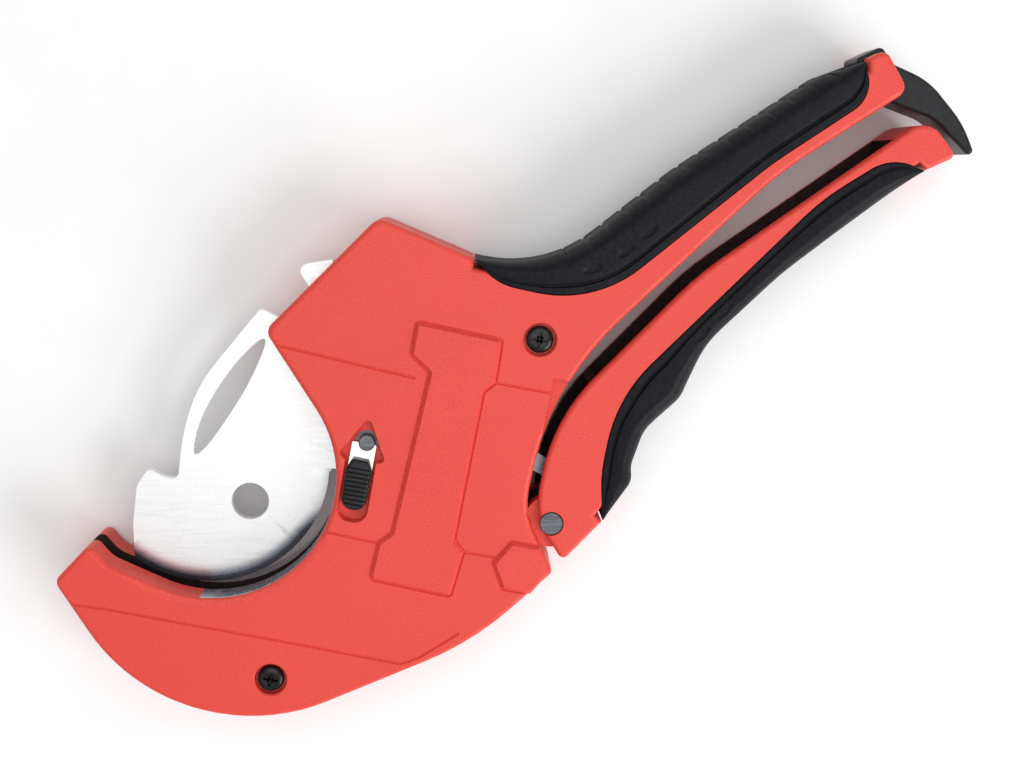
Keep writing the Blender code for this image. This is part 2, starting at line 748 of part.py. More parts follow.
def holding_pawl(shop):
    tip = polar(NOSE_R, HOLD_NOSE_ANGLE)
    outline = bar_pawl(tip, HOLD_PIVOT, 1.9, 3.2, (0.3, 4.0))
    made = plain_steel(shop, "holding_pawl", prism(outline, -PAWL_HALF, PAWL_HALF), HOLD_PIVOT)
    shop.cut(made, disc(HOLD_PIVOT, HOLD_PIN_R + PIN_PLAY, -4.0, 4.0, SMALL_SIDES))
    plain_steel(shop, "holding_pawl_pin", disc(HOLD_PIVOT, HOLD_PIN_R, PIN_FAR_END, 8.6, SMALL_SIDES))
    leaf = [(35.4, -15.4), (34.2, -7.0), (32.6, -4.5), (32.1, -4.9), (33.5, -7.2), (34.7, -15.5)]
    plain_steel(shop, "holding_pawl_spring", prism(leaf, -SPRING_LEAF_HALF, SPRING_LEAF_HALF))


def latch(shop):
    outline = rounded(
        [
            (110.1, 113.9, 2.0),
            (118.5, 111.9, 4.0),
            (129.0, 110.2, 12.0),
            (139.3, 103.1, 0.5),
            (141.6, 103.4, 1.0),
            (136.5, 110.8, 30.0),
            (124.5, 120.0, 10.0),
            (115.2, 121.8, 2.0),
            (111.2, 126.0, 1.5),
            (105.2, 121.2, 1.0),
            (108.0, 116.9, 2.0),
        ]
    )
    levels = [(LATCH_HALF - LATCH_CHAMFER, 0.0), (LATCH_HALF, LATCH_CHAMFER)]
    levels = mirrored(levels) + levels
    made = black_plastic(shop, "latch", slab(outline, levels), LATCH_PIVOT)
    shop.cut(made, disc(LATCH_PIVOT, LATCH_PIN_R + PIN_PLAY, -9.0, 9.0, SMALL_SIDES))
    plain_steel(shop, "latch_pin", disc(LATCH_PIVOT, LATCH_PIN_R, PIN_FAR_END, 10.7, SMALL_SIDES))


def return_spring(shop):
    """A torsion spring round the handle pivot, with one leg in the housing and one along the handle."""
    coil_radius, steps, low, high = 4.6, 56, -3.5, 3.25
    path = [(37.1, -20.4, low)]
    for i in range(steps + 1):
        x, y = polar(coil_radius, FIRST_LEG_ANGLE - COIL_TURN * i / steps, HANDLE_PIVOT)
        path.append((x, y, low + (high - low) * i / steps))
    path.append((61.2, 13.4, high))
    curve = bpy.data.curves.new("handle_return_spring", "CURVE")
    curve.dimensions = "3D"
    spline = curve.splines.new("POLY")
    spline.points.add(len(path) - 1)
    for point, (x, y, z) in zip(spline.points, path):
        point.co = ((x - HANDLE_PIVOT[0]) * MM, (y - HANDLE_PIVOT[1]) * MM, z * MM, 1.0)
    curve.bevel_depth = SPRING_WIRE_R * MM
    curve.bevel_resolution = 1
    curve.use_fill_caps = True
    made = bpy.data.objects.new("handle_return_spring", curve)
    made.location = (HANDLE_PIVOT[0] * MM, HANDLE_PIVOT[1] * MM, 0.0)
    made.parent = shop.frame
    bpy.context.scene.collection.objects.link(made)
    curve.materials.append(bpy.data.materials["handle_pivot_pin"])


def main():
    shop = Workshop()
    near_shell(shop)
    far_shell(shop)
    blade(shop)
    blade_washers(shop)
    blade_pivot_pin(shop)
    lock(shop)
    screws(shop)
    handle_pivot_pin(shop)
    moving_handle(shop)
    sleeve = grip_solid(shop, "upper_grip", upper_grip_crest(), upper_grip_seam())
    shop.cut(sleeve, prism(knob_room(), -LATCH_HALF - 0.5, LATCH_HALF + 0.5))
    grip_solid(shop, "lower_grip", lower_grip_crest(), lower_grip_seam(), HANDLE_PIVOT)
    drive_pawl(shop)
    holding_pawl(shop)
    latch(shop)
    return_spring(shop)


main()
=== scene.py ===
"""The looks of the pipe cutter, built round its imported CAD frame.

Each CAD node but the springs is replaced by a finer piece from the same outlines, with rounded edges, relief
and moulded detail. The springs keep their CAD shape, and everything has a procedural material. The design
frame is the CAD's: millimetres in the blade's plane, with its origin on the blade's pivot.
"""

import math

import bmesh
import bpy
from mathutils import Matrix, Vector


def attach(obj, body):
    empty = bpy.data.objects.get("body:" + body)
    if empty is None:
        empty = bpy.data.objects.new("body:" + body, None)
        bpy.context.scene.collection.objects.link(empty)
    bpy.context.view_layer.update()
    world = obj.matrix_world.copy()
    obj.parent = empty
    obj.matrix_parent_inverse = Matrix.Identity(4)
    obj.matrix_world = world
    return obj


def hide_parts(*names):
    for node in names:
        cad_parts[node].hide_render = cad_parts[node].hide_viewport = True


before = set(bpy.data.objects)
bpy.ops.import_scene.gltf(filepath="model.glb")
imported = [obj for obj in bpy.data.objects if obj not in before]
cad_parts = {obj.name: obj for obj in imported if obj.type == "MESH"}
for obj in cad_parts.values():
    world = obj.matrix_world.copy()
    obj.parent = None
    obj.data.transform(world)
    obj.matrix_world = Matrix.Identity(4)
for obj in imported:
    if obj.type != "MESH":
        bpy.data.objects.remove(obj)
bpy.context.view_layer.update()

MM = 0.001
ARC_STEP = 4.0  # degrees of arc for each facet
ROUND_SIDES = 64
GAP = 0.3

# Where the design frame stands in the world
LIE_TURN = -10.9  # degrees about Z, so that the longest extent is along X
LIE_SHIFT = (-37.943, -13.706)
LIE_HEIGHT = 13.0

# Thicknesses, measured from the blade's plane
BODY_HALF = 12.0
BODY_ROUND = 1.5
PARTING = 0.15
BLADE_HALF = 1.2
SLOT_HALF = 2.6
WASHER_OUTER = 2.3
HOLLOW_HALF = 9.0
EAR_INNER = 9.3
GRIP_FLOOR = 10.8
GRIP_HALF = 13.0
GRIP_SKIN = 2.5
GRIP_LAP = 2.0  # a sleeve's pocket runs this far past its seam
SEAT_OVERHANG = 3.0
CHANNEL_WEB = 2.8
LUG_INNER = 4.6
JAW_SLOT_HALF = 3.1
PAWL_HALF = 2.0
LATCH_HALF = 7.0
PANEL_RISE = 0.8

# Pivots
BLADE_PIN_R = 3.0
BLADE_NECK_R = 1.6
HANDLE_PIVOT = (51.7, -12.3)
HANDLE_PIN_R = 2.4
HANDLE_PIN_HEAD_R = 3.1
LUG_R = 7.0
DRIVE_PIVOT = (58.5, -3.5)
DRIVE_PIN_R = 1.6
HOLD_PIVOT = (29.3, -18.6)
HOLD_PIN_R = 1.6
LATCH_PIVOT = (112.4, 117.6)
LATCH_PIN_R = 1.6
PIN_PLAY = 0.06
PIN_HEAD_FLOOR = 10.9

# Mouth, blade and ratchet
MOUTH_CENTRE = (-39.0, -16.2)
MOUTH_R = 33.2
EDGE_CENTRE = (-41.8, -15.4)
EDGE_R = 33.1
JAW_SLOT_R = 39.7
SWEEP_R = 49.7
NOSE_SWEEP_R = 50.7  # the back of the blade passes here at the end of its swing
HEEL_R = 16.0
TOOTH_TIP_R = 25.0
TOOTH_ROOT_R = 23.2
TOOTH_PITCH = 6.0
FIRST_ROOT = -8.0
TOOTH_COUNT = 21
HUB_R = 8.5
BLADE_HOLE = (-28.3, -23.6)
BLADE_HOLE_R = 4.9
NOSE_R = 25.35
DRIVE_NOSE_ANGLE = 22.0
HOLD_NOSE_ANGLE = -8.0

# Fasteners
SCREWS = {"top": (39.2, 35.2), "jaw": (-13.9, -68.1)}
SCREW_HEAD_R = 3.5
SCREW_SHAFT_R = 1.9
SCREW_RECESS_R = 4.25
SCREW_SEAT = 9.6
SCREW_TAIL = 11.2
CORNER_SCREW_TAIL = 8.5
NUT_R = 3.6
NUT_LEVELS = (-11.6, -9.5)
PIN_FAR_END = -11.8
CORNER_BOSS = (46.1, -25.6)
CORNER_BOSS_R = 7.5

# Blade-pin lock
LOCK_FLOOR = 9.4

# Light, camera and the jaw's grey metal stretch
WORLD_LIGHT = 0.52
KEY_LIGHT = 8.5
OVERHEAD_LIGHT = 5.0
LENS = 49.2
CAMERA_TILT = 9.01
CAMERA_AXIS = (-0.97734, -0.21168, 0.0)
CAMERA_ARM = (0.02586, 0.07133, 0.35951)
FLOOR_HALF, FLOOR_DROP = 12.0, 0.0002  # metres
GREY_WALL_FROM, GREY_WALL_TO = -84.0, 30.0  # degrees round the mouth
WALL_SLACK = 0.0004  # metres from the mouth's radius within which a face belongs to its wall
REFLECTION_WAY = -72.0  # the middle of the band's painted reflection, in degrees round the edge
GROUND_BAND = (0.0286, 0.0334)  # metres from the edge's centre
REFLECTION_REACH = (0.015, 0.022)  # metres along that direction, over which the painted reflection comes in
GROUND_END = 0.0337

# Relief and moulded detail
PAD_SLOPE = 0.7
LIP_IN, LIP_OUT, LIP_DROP = 1.5, 2.5, 0.85  # the bevel along the mouth, in millimetres about its radius
SEAT_SLACK = 0.05
BLADE_ROUND = 0.18
GRIND_START = 27.6
GRIND_ARC = (-121.0, 8.0)  # degrees
SLEEVE_STEPS = 360
SLEEVE_LEAST = 0.15  # a section narrower than this is left out
RIB_DEPTH = 0.55
UPPER_RIBS = (24.0, 106.0, 6.3)  # first, last and pitch along the crest
DISH_LENGTH, DISH_WIDTH, DISH_SIDES = 6.4, 2.6, 28
UPPER_DISHES = [((61.3, 67.8), 50.0), ((56.5, 61.9), 48.0), ((49.0, 55.8), 30.0)]  # centre, degrees
LOWER_DISHES = [((84.6, 51.6), 57.0), ((80.4, 44.6), 60.0)]
KNOB_NOTCHES, KNOB_NOTCH_R = 4, 0.75
BUTTON_FLOOR, BUTTON_SHOULDER, BUTTON_TOP = 10.55, 11.6, 12.8
BUTTON_GROOVES, GROOVE_TOP, GROOVE_PITCH, GROOVE_WIDTH = 9, -6.6, 1.2, 0.55
SCORE_DEPTH, SCORE_SPREAD = 0.4, 0.42
SCORED_LINES = (
    [(-31.0, 21.3), (9.0, 19.35)],
    [(29.0, 21.95), (50.0, 22.1)],
    [(-9.0, -25.2), (8.6, -25.8)],
    [(28.6, -24.1), (39.6, -24.0)],
    [(-78.0, -57.3), (-60.0, -56.6), (-10.0, -57.0), (19.5, -57.5), (24.0, -54.8), (33.0, -46.5)],
)


def polar(radius, degrees, centre=(0.0, 0.0)):
    angle = math.radians(degrees)
    return (centre[0] + radius * math.cos(angle), centre[1] + radius * math.sin(angle))


def arc(centre, radius, start, end):
    steps = max(2, round(abs(end - start) / ARC_STEP))
    return [polar(radius, start + (end - start) * i / steps, centre) for i in range(steps + 1)]


def rounded(corners, closed=True):
    """Points along a polygon with rounded corners (x, y, radius); a corner of two numbers stays sharp."""
    points = []
    count = len(corners)
    for i, corner in enumerate(corners):
        radius = corner[2] if len(corner) > 2 else 0.0
        at_end = not closed and i in (0, count - 1)
        if radius == 0.0 or at_end:
            points.append((corner[0], corner[1]))
            continue
        before = corners[i - 1]
        after = corners[(i + 1) % count]
        come = math.atan2(corner[1] - before[1], corner[0] - before[0])
        leave = math.atan2(after[1] - corner[1], after[0] - corner[0])
        turn = math.remainder(leave - come, math.tau)
        back = radius * math.tan(abs(turn) / 2)
        side = math.copysign(1.0, turn)
        centre = (
            corner[0] - back * math.cos(come) - side * radius * math.sin(come),
            corner[1] - back * math.sin(come) + side * radius * math.cos(come),
        )
        start = math.degrees(come) - 90 * side
        points += arc(centre, radius, start, start + math.degrees(turn))
    return points


def offset(points, distance, closed=True):
    """The polyline moved to its left by a distance."""
    moved = []
    count = len(points)
    for i, (x, y) in enumerate(points):
        before = points[i - 1] if closed or i > 0 else (2 * x - points[1][0], 2 * y - points[1][1])
        last = not closed and i == count - 1
        after = (2 * x - before[0], 2 * y - before[1]) if last else points[(i + 1) % count]
        come = math.atan2(y - before[1], x - before[0])
        leave = math.atan2(after[1] - y, after[0] - x)
        half = math.remainder(leave - come, math.tau) / 2
        reach = distance / max(math.cos(half), 0.3)  # a very sharp corner reaches no further
        normal = come + half + math.pi / 2
        moved.append((x + reach * math.cos(normal), y + reach * math.sin(normal)))
    return moved


def anticlockwise(points):
    area = sum(a[0] * b[1] - b[0] * a[1] for a, b in zip(points, points[1:] + points[:1]))
    return points if area > 0 else points[::-1]


def loft(rings, standing=False):
    """A closed solid through rings of (x, y, z) points in millimetres; standing rings wind the other way."""
    mesh = bmesh.new()
    rings = [[mesh.verts.new((x * MM, y * MM, z * MM)) for x, y, z in ring] for ring in rings]
    mesh.faces.new(rings[0] if standing else rings[0][::-1])
    mesh.faces.new(rings[-1][::-1] if standing else rings[-1])
    for low, high in zip(rings, rings[1:]):
        for i in range(len(low)):
            j = (i + 1) % len(low)
            mesh.faces.new((low[i], low[j], high[j], high[i]))
    return mesh


def slab(outline, levels):
    """A closed solid through the outline at each (z, inset) level, lowest level first."""
    outline = anticlockwise(outline)
    rings = []
    for z, inset in levels:
        ring = offset(outline, inset) if inset else outline
        rings.append([(x, y, z) for x, y in ring])
    return loft(rings)


def prism(outline, low, high):
    return slab(outline, [(low, 0.0), (high, 0.0)])


def turned(profile, centre, sides=ROUND_SIDES):
    """A solid of revolution about a vertical axis from (radius, z) pairs, lowest first, with flat ends."""
    return loft(
        [[(*polar(radius, 360 * i / sides, centre), z) for i in range(sides)] for radius, z in profile]
    )


def disc(centre, radius, low, high, sides=ROUND_SIDES):
    return turned([(radius, low), (radius, high)], centre, sides)


def hexagon(centre, radius):
    return [polar(radius, 60 * i, centre) for i in range(6)]


def mirrored(outline_levels):
    """The same levels on the other side of the blade's plane."""
    return [(-z, inset) for z, inset in reversed(outline_levels)]


# Outlines


def upper_grip_crest():
    return rounded(
        [(18.7, 52.6), (38.0, 52.9, 36.0), (66.0, 84.8, 60.0), (97.5, 115.2, 6.0), (106.6, 120.4)],
        closed=False,
    )


def upper_grip_seam():
    return rounded(
        [
            (18.7, 52.6),
            (25.5, 47.3, 15.0),
            (51.2, 46.6, 32.0),
            (89.0, 91.0, 80.0),
            (110.3, 111.8, 8.0),
            (106.6, 120.4),
        ],
        closed=False,
    )


def lower_grip_crest():
    return rounded(
        [
            (128.0, 96.6),
            (98.0, 63.5, 80.0),
            (82.5, 42.0, 25.0),
            (79.2, 26.6, 9.0),
            (71.4, 16.2, 10.0),
            (69.9, 6.5, 6.0),
            (71.0, 2.0, 4.5),
            (64.9, -9.2),
        ],
        closed=False,
    )


def lower_grip_seam():
    return rounded(
        [
            (128.0, 96.6),
            (118.5, 98.4, 12.0),
            (103.5, 84.6, 60.0),
            (61.9, 24.2, 40.0),
            (61.9, 3.0, 40.0),
            (64.9, -9.2),
        ],
        closed=False,
    )


def grip_seat(crest, seam):
    """The outline of the recess a sleeve lies in."""
    outer, inner = offset(crest, SEAT_OVERHANG, closed=False), offset(seam, -SEAT_SLACK, closed=False)
    return [crest[0]] + outer[1:-1] + [crest[-1]] + inner[-2:0:-1]


def housing_outline():
    """Clockwise from the nose: top edge, core of the upper grip, handle end, rear, belly, hook, mouth."""
    nose = rounded([(-14.6, 6.3), (-31.0, 24.1, 3.0), (-7.5, 58.3, 4.0), (18.6, 52.65)], closed=False)
    core = offset(upper_grip_crest(), -GRIP_SKIN, closed=False)
    rest = rounded(
        [
            (107.1, 121.4),
            (111.3, 124.4, 2.5),
            (119.3, 115.5, 3.0),
            (91.3, 88.9, 100.0),
            (44.2, 23.7, 78.0),
            (44.2, -10.9, 20.0),
            (54.8, -25.4, 1.8),
            (37.15, -48.6, 80.0),
            (-10.8, -80.3, 50.8),
            (-48.6, -80.3, 50.0),
            (-74.3, -51.9, 2.6),
            (-66.8, -40.3, 1.8),
            (-61.5, -44.7, 8.0),
            polar(MOUTH_R, -105.0, MOUTH_CENTRE),
        ],
        closed=False,
    )
    return nose + core + rest[:-1] + arc(MOUTH_CENTRE, MOUTH_R, -105.0, 42.7)[:-1]


def blade_outline():
    """The cutting arc, the back with its hooks, the fin, then the toothed sector and the lower hub."""
    edge = arc(EDGE_CENTRE, EDGE_R, 6.0, -116.2)
    back = [
        (-58.2, -36.0, 15.0),
        (-58.9, -25.0, 5.0),
        (-56.6, -19.6, 1.6),
        (-52.0, -21.1, 3.0),
        (-48.3, -21.1, 1.6),
        (-49.2, -8.5, 56.0),
        (-47.0, 5.5, 38.0),
        (-34.2, 28.6, 1.8),
        (-29.4, 27.2, 0.5),
        (-26.0, 27.2, 2.0),
        (-21.6, 35.2, 1.0),
        (-27.3, 41.3, 2.2),
        (-17.7, 44.8, 0.6),
        polar(30.0, 111.0),
        polar(TOOTH_TIP_R, 118.5),
    ]
    teeth = []
    for i in range(TOOTH_COUNT):
        root = FIRST_ROOT + i * TOOTH_PITCH
        teeth.append(polar(TOOTH_TIP_R, root - 4.2))
        teeth.append(polar(TOOTH_ROOT_R, root + 0.3))
        teeth.append(polar(TOOTH_TIP_R, root + 1.3))
    hub = arc((0.0, 0.0), HUB_R, -32.0, -105.0)
    return rounded(edge + back + teeth[:0:-1] + hub)


def blade_window():
    """A spindle-shaped window whose corners are cut twice over, so that it reads as one smooth curve."""
    points = [(-45.8, -13.6), (-45.2, -3.0), (-38.8, 12.6), (-30.4, 23.6)]
    points += [(-33.6, 8.6), (-39.2, -5.0), (-43.6, -13.4)]
    for _ in range(4):
        cut = []
        for first, second in zip(points, points[1:] + points[:1]):
            for t in (0.25, 0.75):
                cut.append((first[0] + t * (second[0] - first[0]), first[1] + t * (second[1] - first[1])))
        points = cut
    return points


def on_side(side, low, high):
    """A z range given for the front shell, for either shell."""
    return (low, high) if side > 0 else (-high, -low)


def mechanism_cutters():
    """The room between the shells for the swinging blade, the two pawls and the spring."""
    sweep = [(0.0, 0.0)] + arc((0.0, 0.0), SWEEP_R, -20.0, 160.0)
    nose = [(0.0, 0.0)] + arc((0.0, 0.0), NOSE_SWEEP_R, 88.0, 160.0)
    teeth = [(0.0, 0.0)] + arc((0.0, 0.0), TOOTH_TIP_R + 0.6, -104.0, -10.0)
    heel = [(0.0, 0.0)] + arc((0.0, 0.0), HEEL_R, 150.0, 262.0)
    jaw = [MOUTH_CENTRE] + arc(MOUTH_CENTRE, JAW_SLOT_R, -150.0, 20.0)
    hold = [(19.5, -14.0), (22.5, -24.0), (31.0, -24.0), (36.0, -16.0), (36.0, 0.0), (24.0, 0.0)]
    return [
        prism(sweep, -SLOT_HALF, SLOT_HALF),
        prism(nose, -SLOT_HALF, SLOT_HALF),
        prism(teeth, -SLOT_HALF, SLOT_HALF),
        prism(heel, -SLOT_HALF, SLOT_HALF),
        disc((0.0, 0.0), HUB_R + 0.5, -SLOT_HALF - 0.03, SLOT_HALF + 0.03),
        prism(jaw, -JAW_SLOT_HALF, JAW_SLOT_HALF),
        prism(hold, -SLOT_HALF, SLOT_HALF),
        prism([(40.0, -17.0), (70.0, -17.0), (70.0, 12.0), (40.0, 12.0)], -SLOT_HALF, SLOT_HALF),
    ]


def handle_hollow():
    """The inside of the fixed handle, open at its end for the latch."""
    return rounded(
        [
            (57.5, 54.0, 1.5),
            (69.8, 80.6, 40.0),
            (100.5, 109.8, 3.0),
            (106.5, 113.5),
            (109.0, 121.5),
            (126.0, 128.0),
            (126.0, 104.0),
            (116.5, 108.0),
            (112.0, 111.8),
            (88.1, 89.6, 60.0),
            (62.0, 53.5, 1.5),
        ]
    )


def panel_outline():
    return rounded(
        [
            (7.1, 33.8, 1.0),
            (29.5, 33.3, 1.0),
            (29.9, 21.9, 1.0),
            (27.3, 19.0, 1.0),
            (27.2, -21.3, 1.0),
            (30.2, -24.1, 1.0),
            (29.0, -36.6, 1.0),
            (7.3, -35.8, 1.0),
            (7.7, -25.8, 1.0),
            (10.8, -22.4, 1.0),
            (12.8, 21.6, 1.0),
            (7.2, 25.1, 1.0),
        ]
    )


def arrow_outline():
    return rounded(
        [
            (-0.6, 6.8, 1.0),
            (5.4, -4.0, 0.8),
            (3.1, -4.7),
            (3.3, -21.3, 3.4),
            (-4.4, -21.3, 3.4),
            (-4.5, -5.3),
            (-6.6, -3.8, 0.8),
        ]
    )


def spring_leg_room():
    return [(49.6, -10.4), (38.0, -22.2), (35.6, -19.8), (47.2, -7.9)]


def knob_room():
    return [(101.0, 115.0), (105.0, 128.0), (117.0, 128.0), (112.0, 112.0)]


def moving_handle_outline():
    """Anticlockwise from the ear's corner: outer edge under the grip, free end, inner edge, ear."""
    core = offset(lower_grip_crest(), -GRIP_SKIN, closed=False)[::-1]
    rest = rounded(
        [
            (128.4, 96.9),
            (135.4, 101.8, 1.6),
            (125.7, 110.1, 6.0),
            (76.5, 59.5, 80.0),
            (46.8, 15.1, 50.0),
            (46.9, -11.0, 20.0),
            (56.6, -22.0, 1.6),
            (64.8, -9.4),
        ],
        closed=False,
    )
    return core + rest


def handle_channel():
    """The inside of the channel: open towards the fixed handle and round the pivot lug."""
    inner = offset(lower_grip_crest(), -GRIP_SKIN - CHANNEL_WEB, closed=False)[::-1]
    web = [at for at in inner if 4.0 < at[1] < 94.0]
    opening = [(122.0, 98.5), (112.0, 112.0), (70.0, 70.0), (35.0, 20.0), (35.0, -30.0)]
    return [(50.0, -30.0), (54.9, -20.9), (64.6, -4.6)] + web + opening


def bar_pawl(tip, pivot, half_width, boss, slope):
    """A pawl from a boss at its pivot to a wedge at its tip. The slope turns the wedge's lower flank."""
    way = math.atan2(tip[1] - pivot[1], tip[0] - pivot[0])
    length = math.dist(tip, pivot)

    def place(along, across):
        return (
            pivot[0] + along * math.cos(way) - across * math.sin(way),
            pivot[1] + along * math.sin(way) + across * math.cos(way),
        )

    start = math.degrees(math.asin(half_width / boss))
    round_end = [
        place(*polar(boss, angle)) for angle in (start + (360 - 2 * start) * i / 14 for i in range(15))
    ]
    low, high = slope
    wedge = [place(length - low, -half_width), place(length, 0.0), place(length - high, half_width)]
    return round_end + wedge


# Materials


def new_material(name):
    material = bpy.data.materials.new(name)
    material.use_nodes = True
    tree = material.node_tree
    return material, tree, tree.nodes["Principled BSDF"]


def set_inputs(shader, **values):
    for name, value in values.items():
        shader.inputs[name.replace("_", " ")].default_value = value


def noise(tree, scale, detail=3.0, roughness=0.6):
    """Noise in the object's own metres, so that it stays on the piece when the piece moves."""
    place = tree.nodes.new("ShaderNodeTexCoord")
    made = tree.nodes.new("ShaderNodeTexNoise")
    made.inputs["Scale"].default_value = scale
    made.inputs["Detail"].default_value = detail
    made.inputs["Roughness"].default_value = roughness
    tree.links.new(place.outputs["Object"], made.inputs["Vector"])
    return made.outputs["Fac"]


def ramp(tree, factor, *stops):
    made = tree.nodes.new("ShaderNodeValToRGB")
    while len(made.color_ramp.elements) < len(stops):
        made.color_ramp.elements.new(0.5)
    for element, (at, colour) in zip(made.color_ramp.elements, stops):
        element.position = at
        element.color = (*colour, 1.0)
    tree.links.new(factor, made.inputs["Fac"])
    return made.outputs["Color"]


def spread(tree, factor, low, high):
    """The factor's middle half stretched to a range of values."""
    made = tree.nodes.new("ShaderNodeMapRange")
    for name, value in (("From Min", 0.3), ("From Max", 0.7), ("To Min", low), ("To Max", high)):
        made.inputs[name].default_value = value
    tree.links.new(factor, made.inputs["Value"])
    return made.outputs["Result"]


def bump(tree, shader, height, distance, strength=1.0):
    made = tree.nodes.new("ShaderNodeBump")
    made.inputs["Distance"].default_value = distance
    made.inputs["Strength"].default_value = strength
    tree.links.new(height, made.inputs["Height"])
    tree.links.new(made.outputs["Normal"], shader.inputs["Normal"])


def mix(tree, first, second, factor, blend="MIX"):
    made = tree.nodes.new("ShaderNodeMix")
    made.data_type = "RGBA"
    made.blend_type = blend
    for socket, value in ((made.inputs[6], first), (made.inputs[7], second), (made.inputs[0], factor)):
        if isinstance(value, (float, tuple)):
            socket.default_value = value
        else:
            tree.links.new(value, socket)
    return made.outputs[2]


def red_coat():
    """Powder coat: a fine speckle over slow changes of shade, on a faint orange-peel skin."""
    material, tree, shader = new_material("red_coat")
    low, middle, high = (0.62, 0.038, 0.026), (0.77, 0.064, 0.044), (0.84, 0.092, 0.068)
    speckle = ramp(tree, noise(tree, 3600.0, 2.0), (0.34, low), (0.50, middle), (0.68, high))
    slow = ramp(tree, noise(tree, 22.0), (0.3, (0.94, 0.91, 0.91)), (0.7, (1.0, 1.0, 1.0)))
    tree.links.new(mix(tree, speckle, slow, 1.0, "MULTIPLY"), shader.inputs["Base Color"])
    tree.links.new(spread(tree, noise(tree, 700.0), 0.40, 0.54), shader.inputs["Roughness"])
    set_inputs(shader, Specular_IOR_Level=0.42)
    bump(tree, shader, noise(tree, 2400.0, 4.0), 0.00003)
    return material


def painted_shade_inside():
    """Painted shade: a near-black coat on the faces of the cast hollows, standing in for the shade that
    falls inside them.
    """
    material, tree, shader = new_material("painted_shade_inside")
    low, high = (0.012, 0.006, 0.006), (0.035, 0.014, 0.013)
    colour = ramp(tree, noise(tree, 500.0), (0.3, low), (0.7, high))
    tree.links.new(colour, shader.inputs["Base Color"])
    set_inputs(shader, Roughness=0.65, Specular_IOR_Level=0.25)
    return material


def rubber():
    """Moulded rubber: near black with dust in a fine grain, and smoother rubbed patches."""
    material, tree, shader = new_material("grip_rubber")
    colour = ramp(tree, noise(tree, 900.0), (0.3, (0.004, 0.0045, 0.006)), (0.75, (0.012, 0.013, 0.017)))
    tree.links.new(colour, shader.inputs["Base Color"])
    tree.links.new(spread(tree, noise(tree, 60.0), 0.42, 0.60), shader.inputs["Roughness"])
    set_inputs(shader, Specular_IOR_Level=0.13)
    bump(tree, shader, noise(tree, 2200.0, 4.0), 0.00003)
    return material


def nylon():
    """Moulded nylon, satin, a little lighter than the rubber."""
    material, tree, shader = new_material("black_nylon")
    colour = ramp(tree, noise(tree, 400.0), (0.3, (0.010, 0.011, 0.013)), (0.7, (0.022, 0.024, 0.027)))
    tree.links.new(colour, shader.inputs["Base Color"])
    tree.links.new(spread(tree, noise(tree, 200.0), 0.28, 0.42), shader.inputs["Roughness"])
    set_inputs(shader, Specular_IOR_Level=0.22)
    bump(tree, shader, noise(tree, 900.0, 4.0), 0.00003)
    return material


def black_oxide():
    material, tree, shader = new_material("black_oxide")
    colour = ramp(tree, noise(tree, 500.0), (0.35, (0.008, 0.008, 0.009)), (0.7, (0.03, 0.03, 0.032)))
    tree.links.new(colour, shader.inputs["Base Color"])
    tree.links.new(spread(tree, noise(tree, 300.0), 0.18, 0.32), shader.inputs["Roughness"])
    set_inputs(shader, Metallic=0.6)
    bump(tree, shader, noise(tree, 900.0), 0.00002)
    return material


def steel(name, dark, light, rough, grain=260.0, depth=0.00001):
    """Turned or ground steel with a stretched grain."""
    material, tree, shader = new_material(name)
    place = tree.nodes.new("ShaderNodeTexCoord")
    stretch = tree.nodes.new("ShaderNodeMapping")
    stretch.inputs["Scale"].default_value = (1.0, 9.0, 1.0)
    tree.links.new(place.outputs["Object"], stretch.inputs["Vector"])
    grains = tree.nodes.new("ShaderNodeTexNoise")
    grains.inputs["Scale"].default_value = grain
    grains.inputs["Detail"].default_value = 4.0
    tree.links.new(stretch.outputs["Vector"], grains.inputs["Vector"])
    tree.links.new(ramp(tree, grains.outputs["Fac"], (0.3, dark), (0.7, light)), shader.inputs["Base Color"])
    roughness = spread(tree, grains.outputs["Fac"], rough * 0.8, rough * 1.25)
    tree.links.new(roughness, shader.inputs["Roughness"])
    set_inputs(shader, Metallic=1.0)
    if depth:
        bump(tree, shader, grains.outputs["Fac"], depth)
    return material, tree, shader


def along(tree, place, centre, way, low, high):
    """How far a point has gone past the centre in a direction, as a value from 0 at low to 1 at high."""
    shift = tree.nodes.new("ShaderNodeVectorMath")
    shift.operation = "SUBTRACT"
    tree.links.new(place, shift.inputs[0])
    shift.inputs[1].default_value = centre
    dot = tree.nodes.new("ShaderNodeVectorMath")
    dot.operation = "DOT_PRODUCT"
    tree.links.new(shift.outputs["Vector"], dot.inputs[0])
    dot.inputs[1].default_value = way
    return stretched(tree, dot.outputs["Value"], low, high)


def stretched(tree, value, low, high):
    made = tree.nodes.new("ShaderNodeMapRange")
    made.inputs["From Min"].default_value = low
    made.inputs["From Max"].default_value = high
    tree.links.new(value, made.inputs["Value"])
    return made.outputs["Result"]


def maths(tree, operation, *values):
    made = tree.nodes.new("ShaderNodeMath")
    made.operation = operation
    for socket, value in zip(made.inputs, values):
        if isinstance(value, float):
            socket.default_value = value
        else:
            tree.links.new(value, socket)
    return made.outputs["Value"]


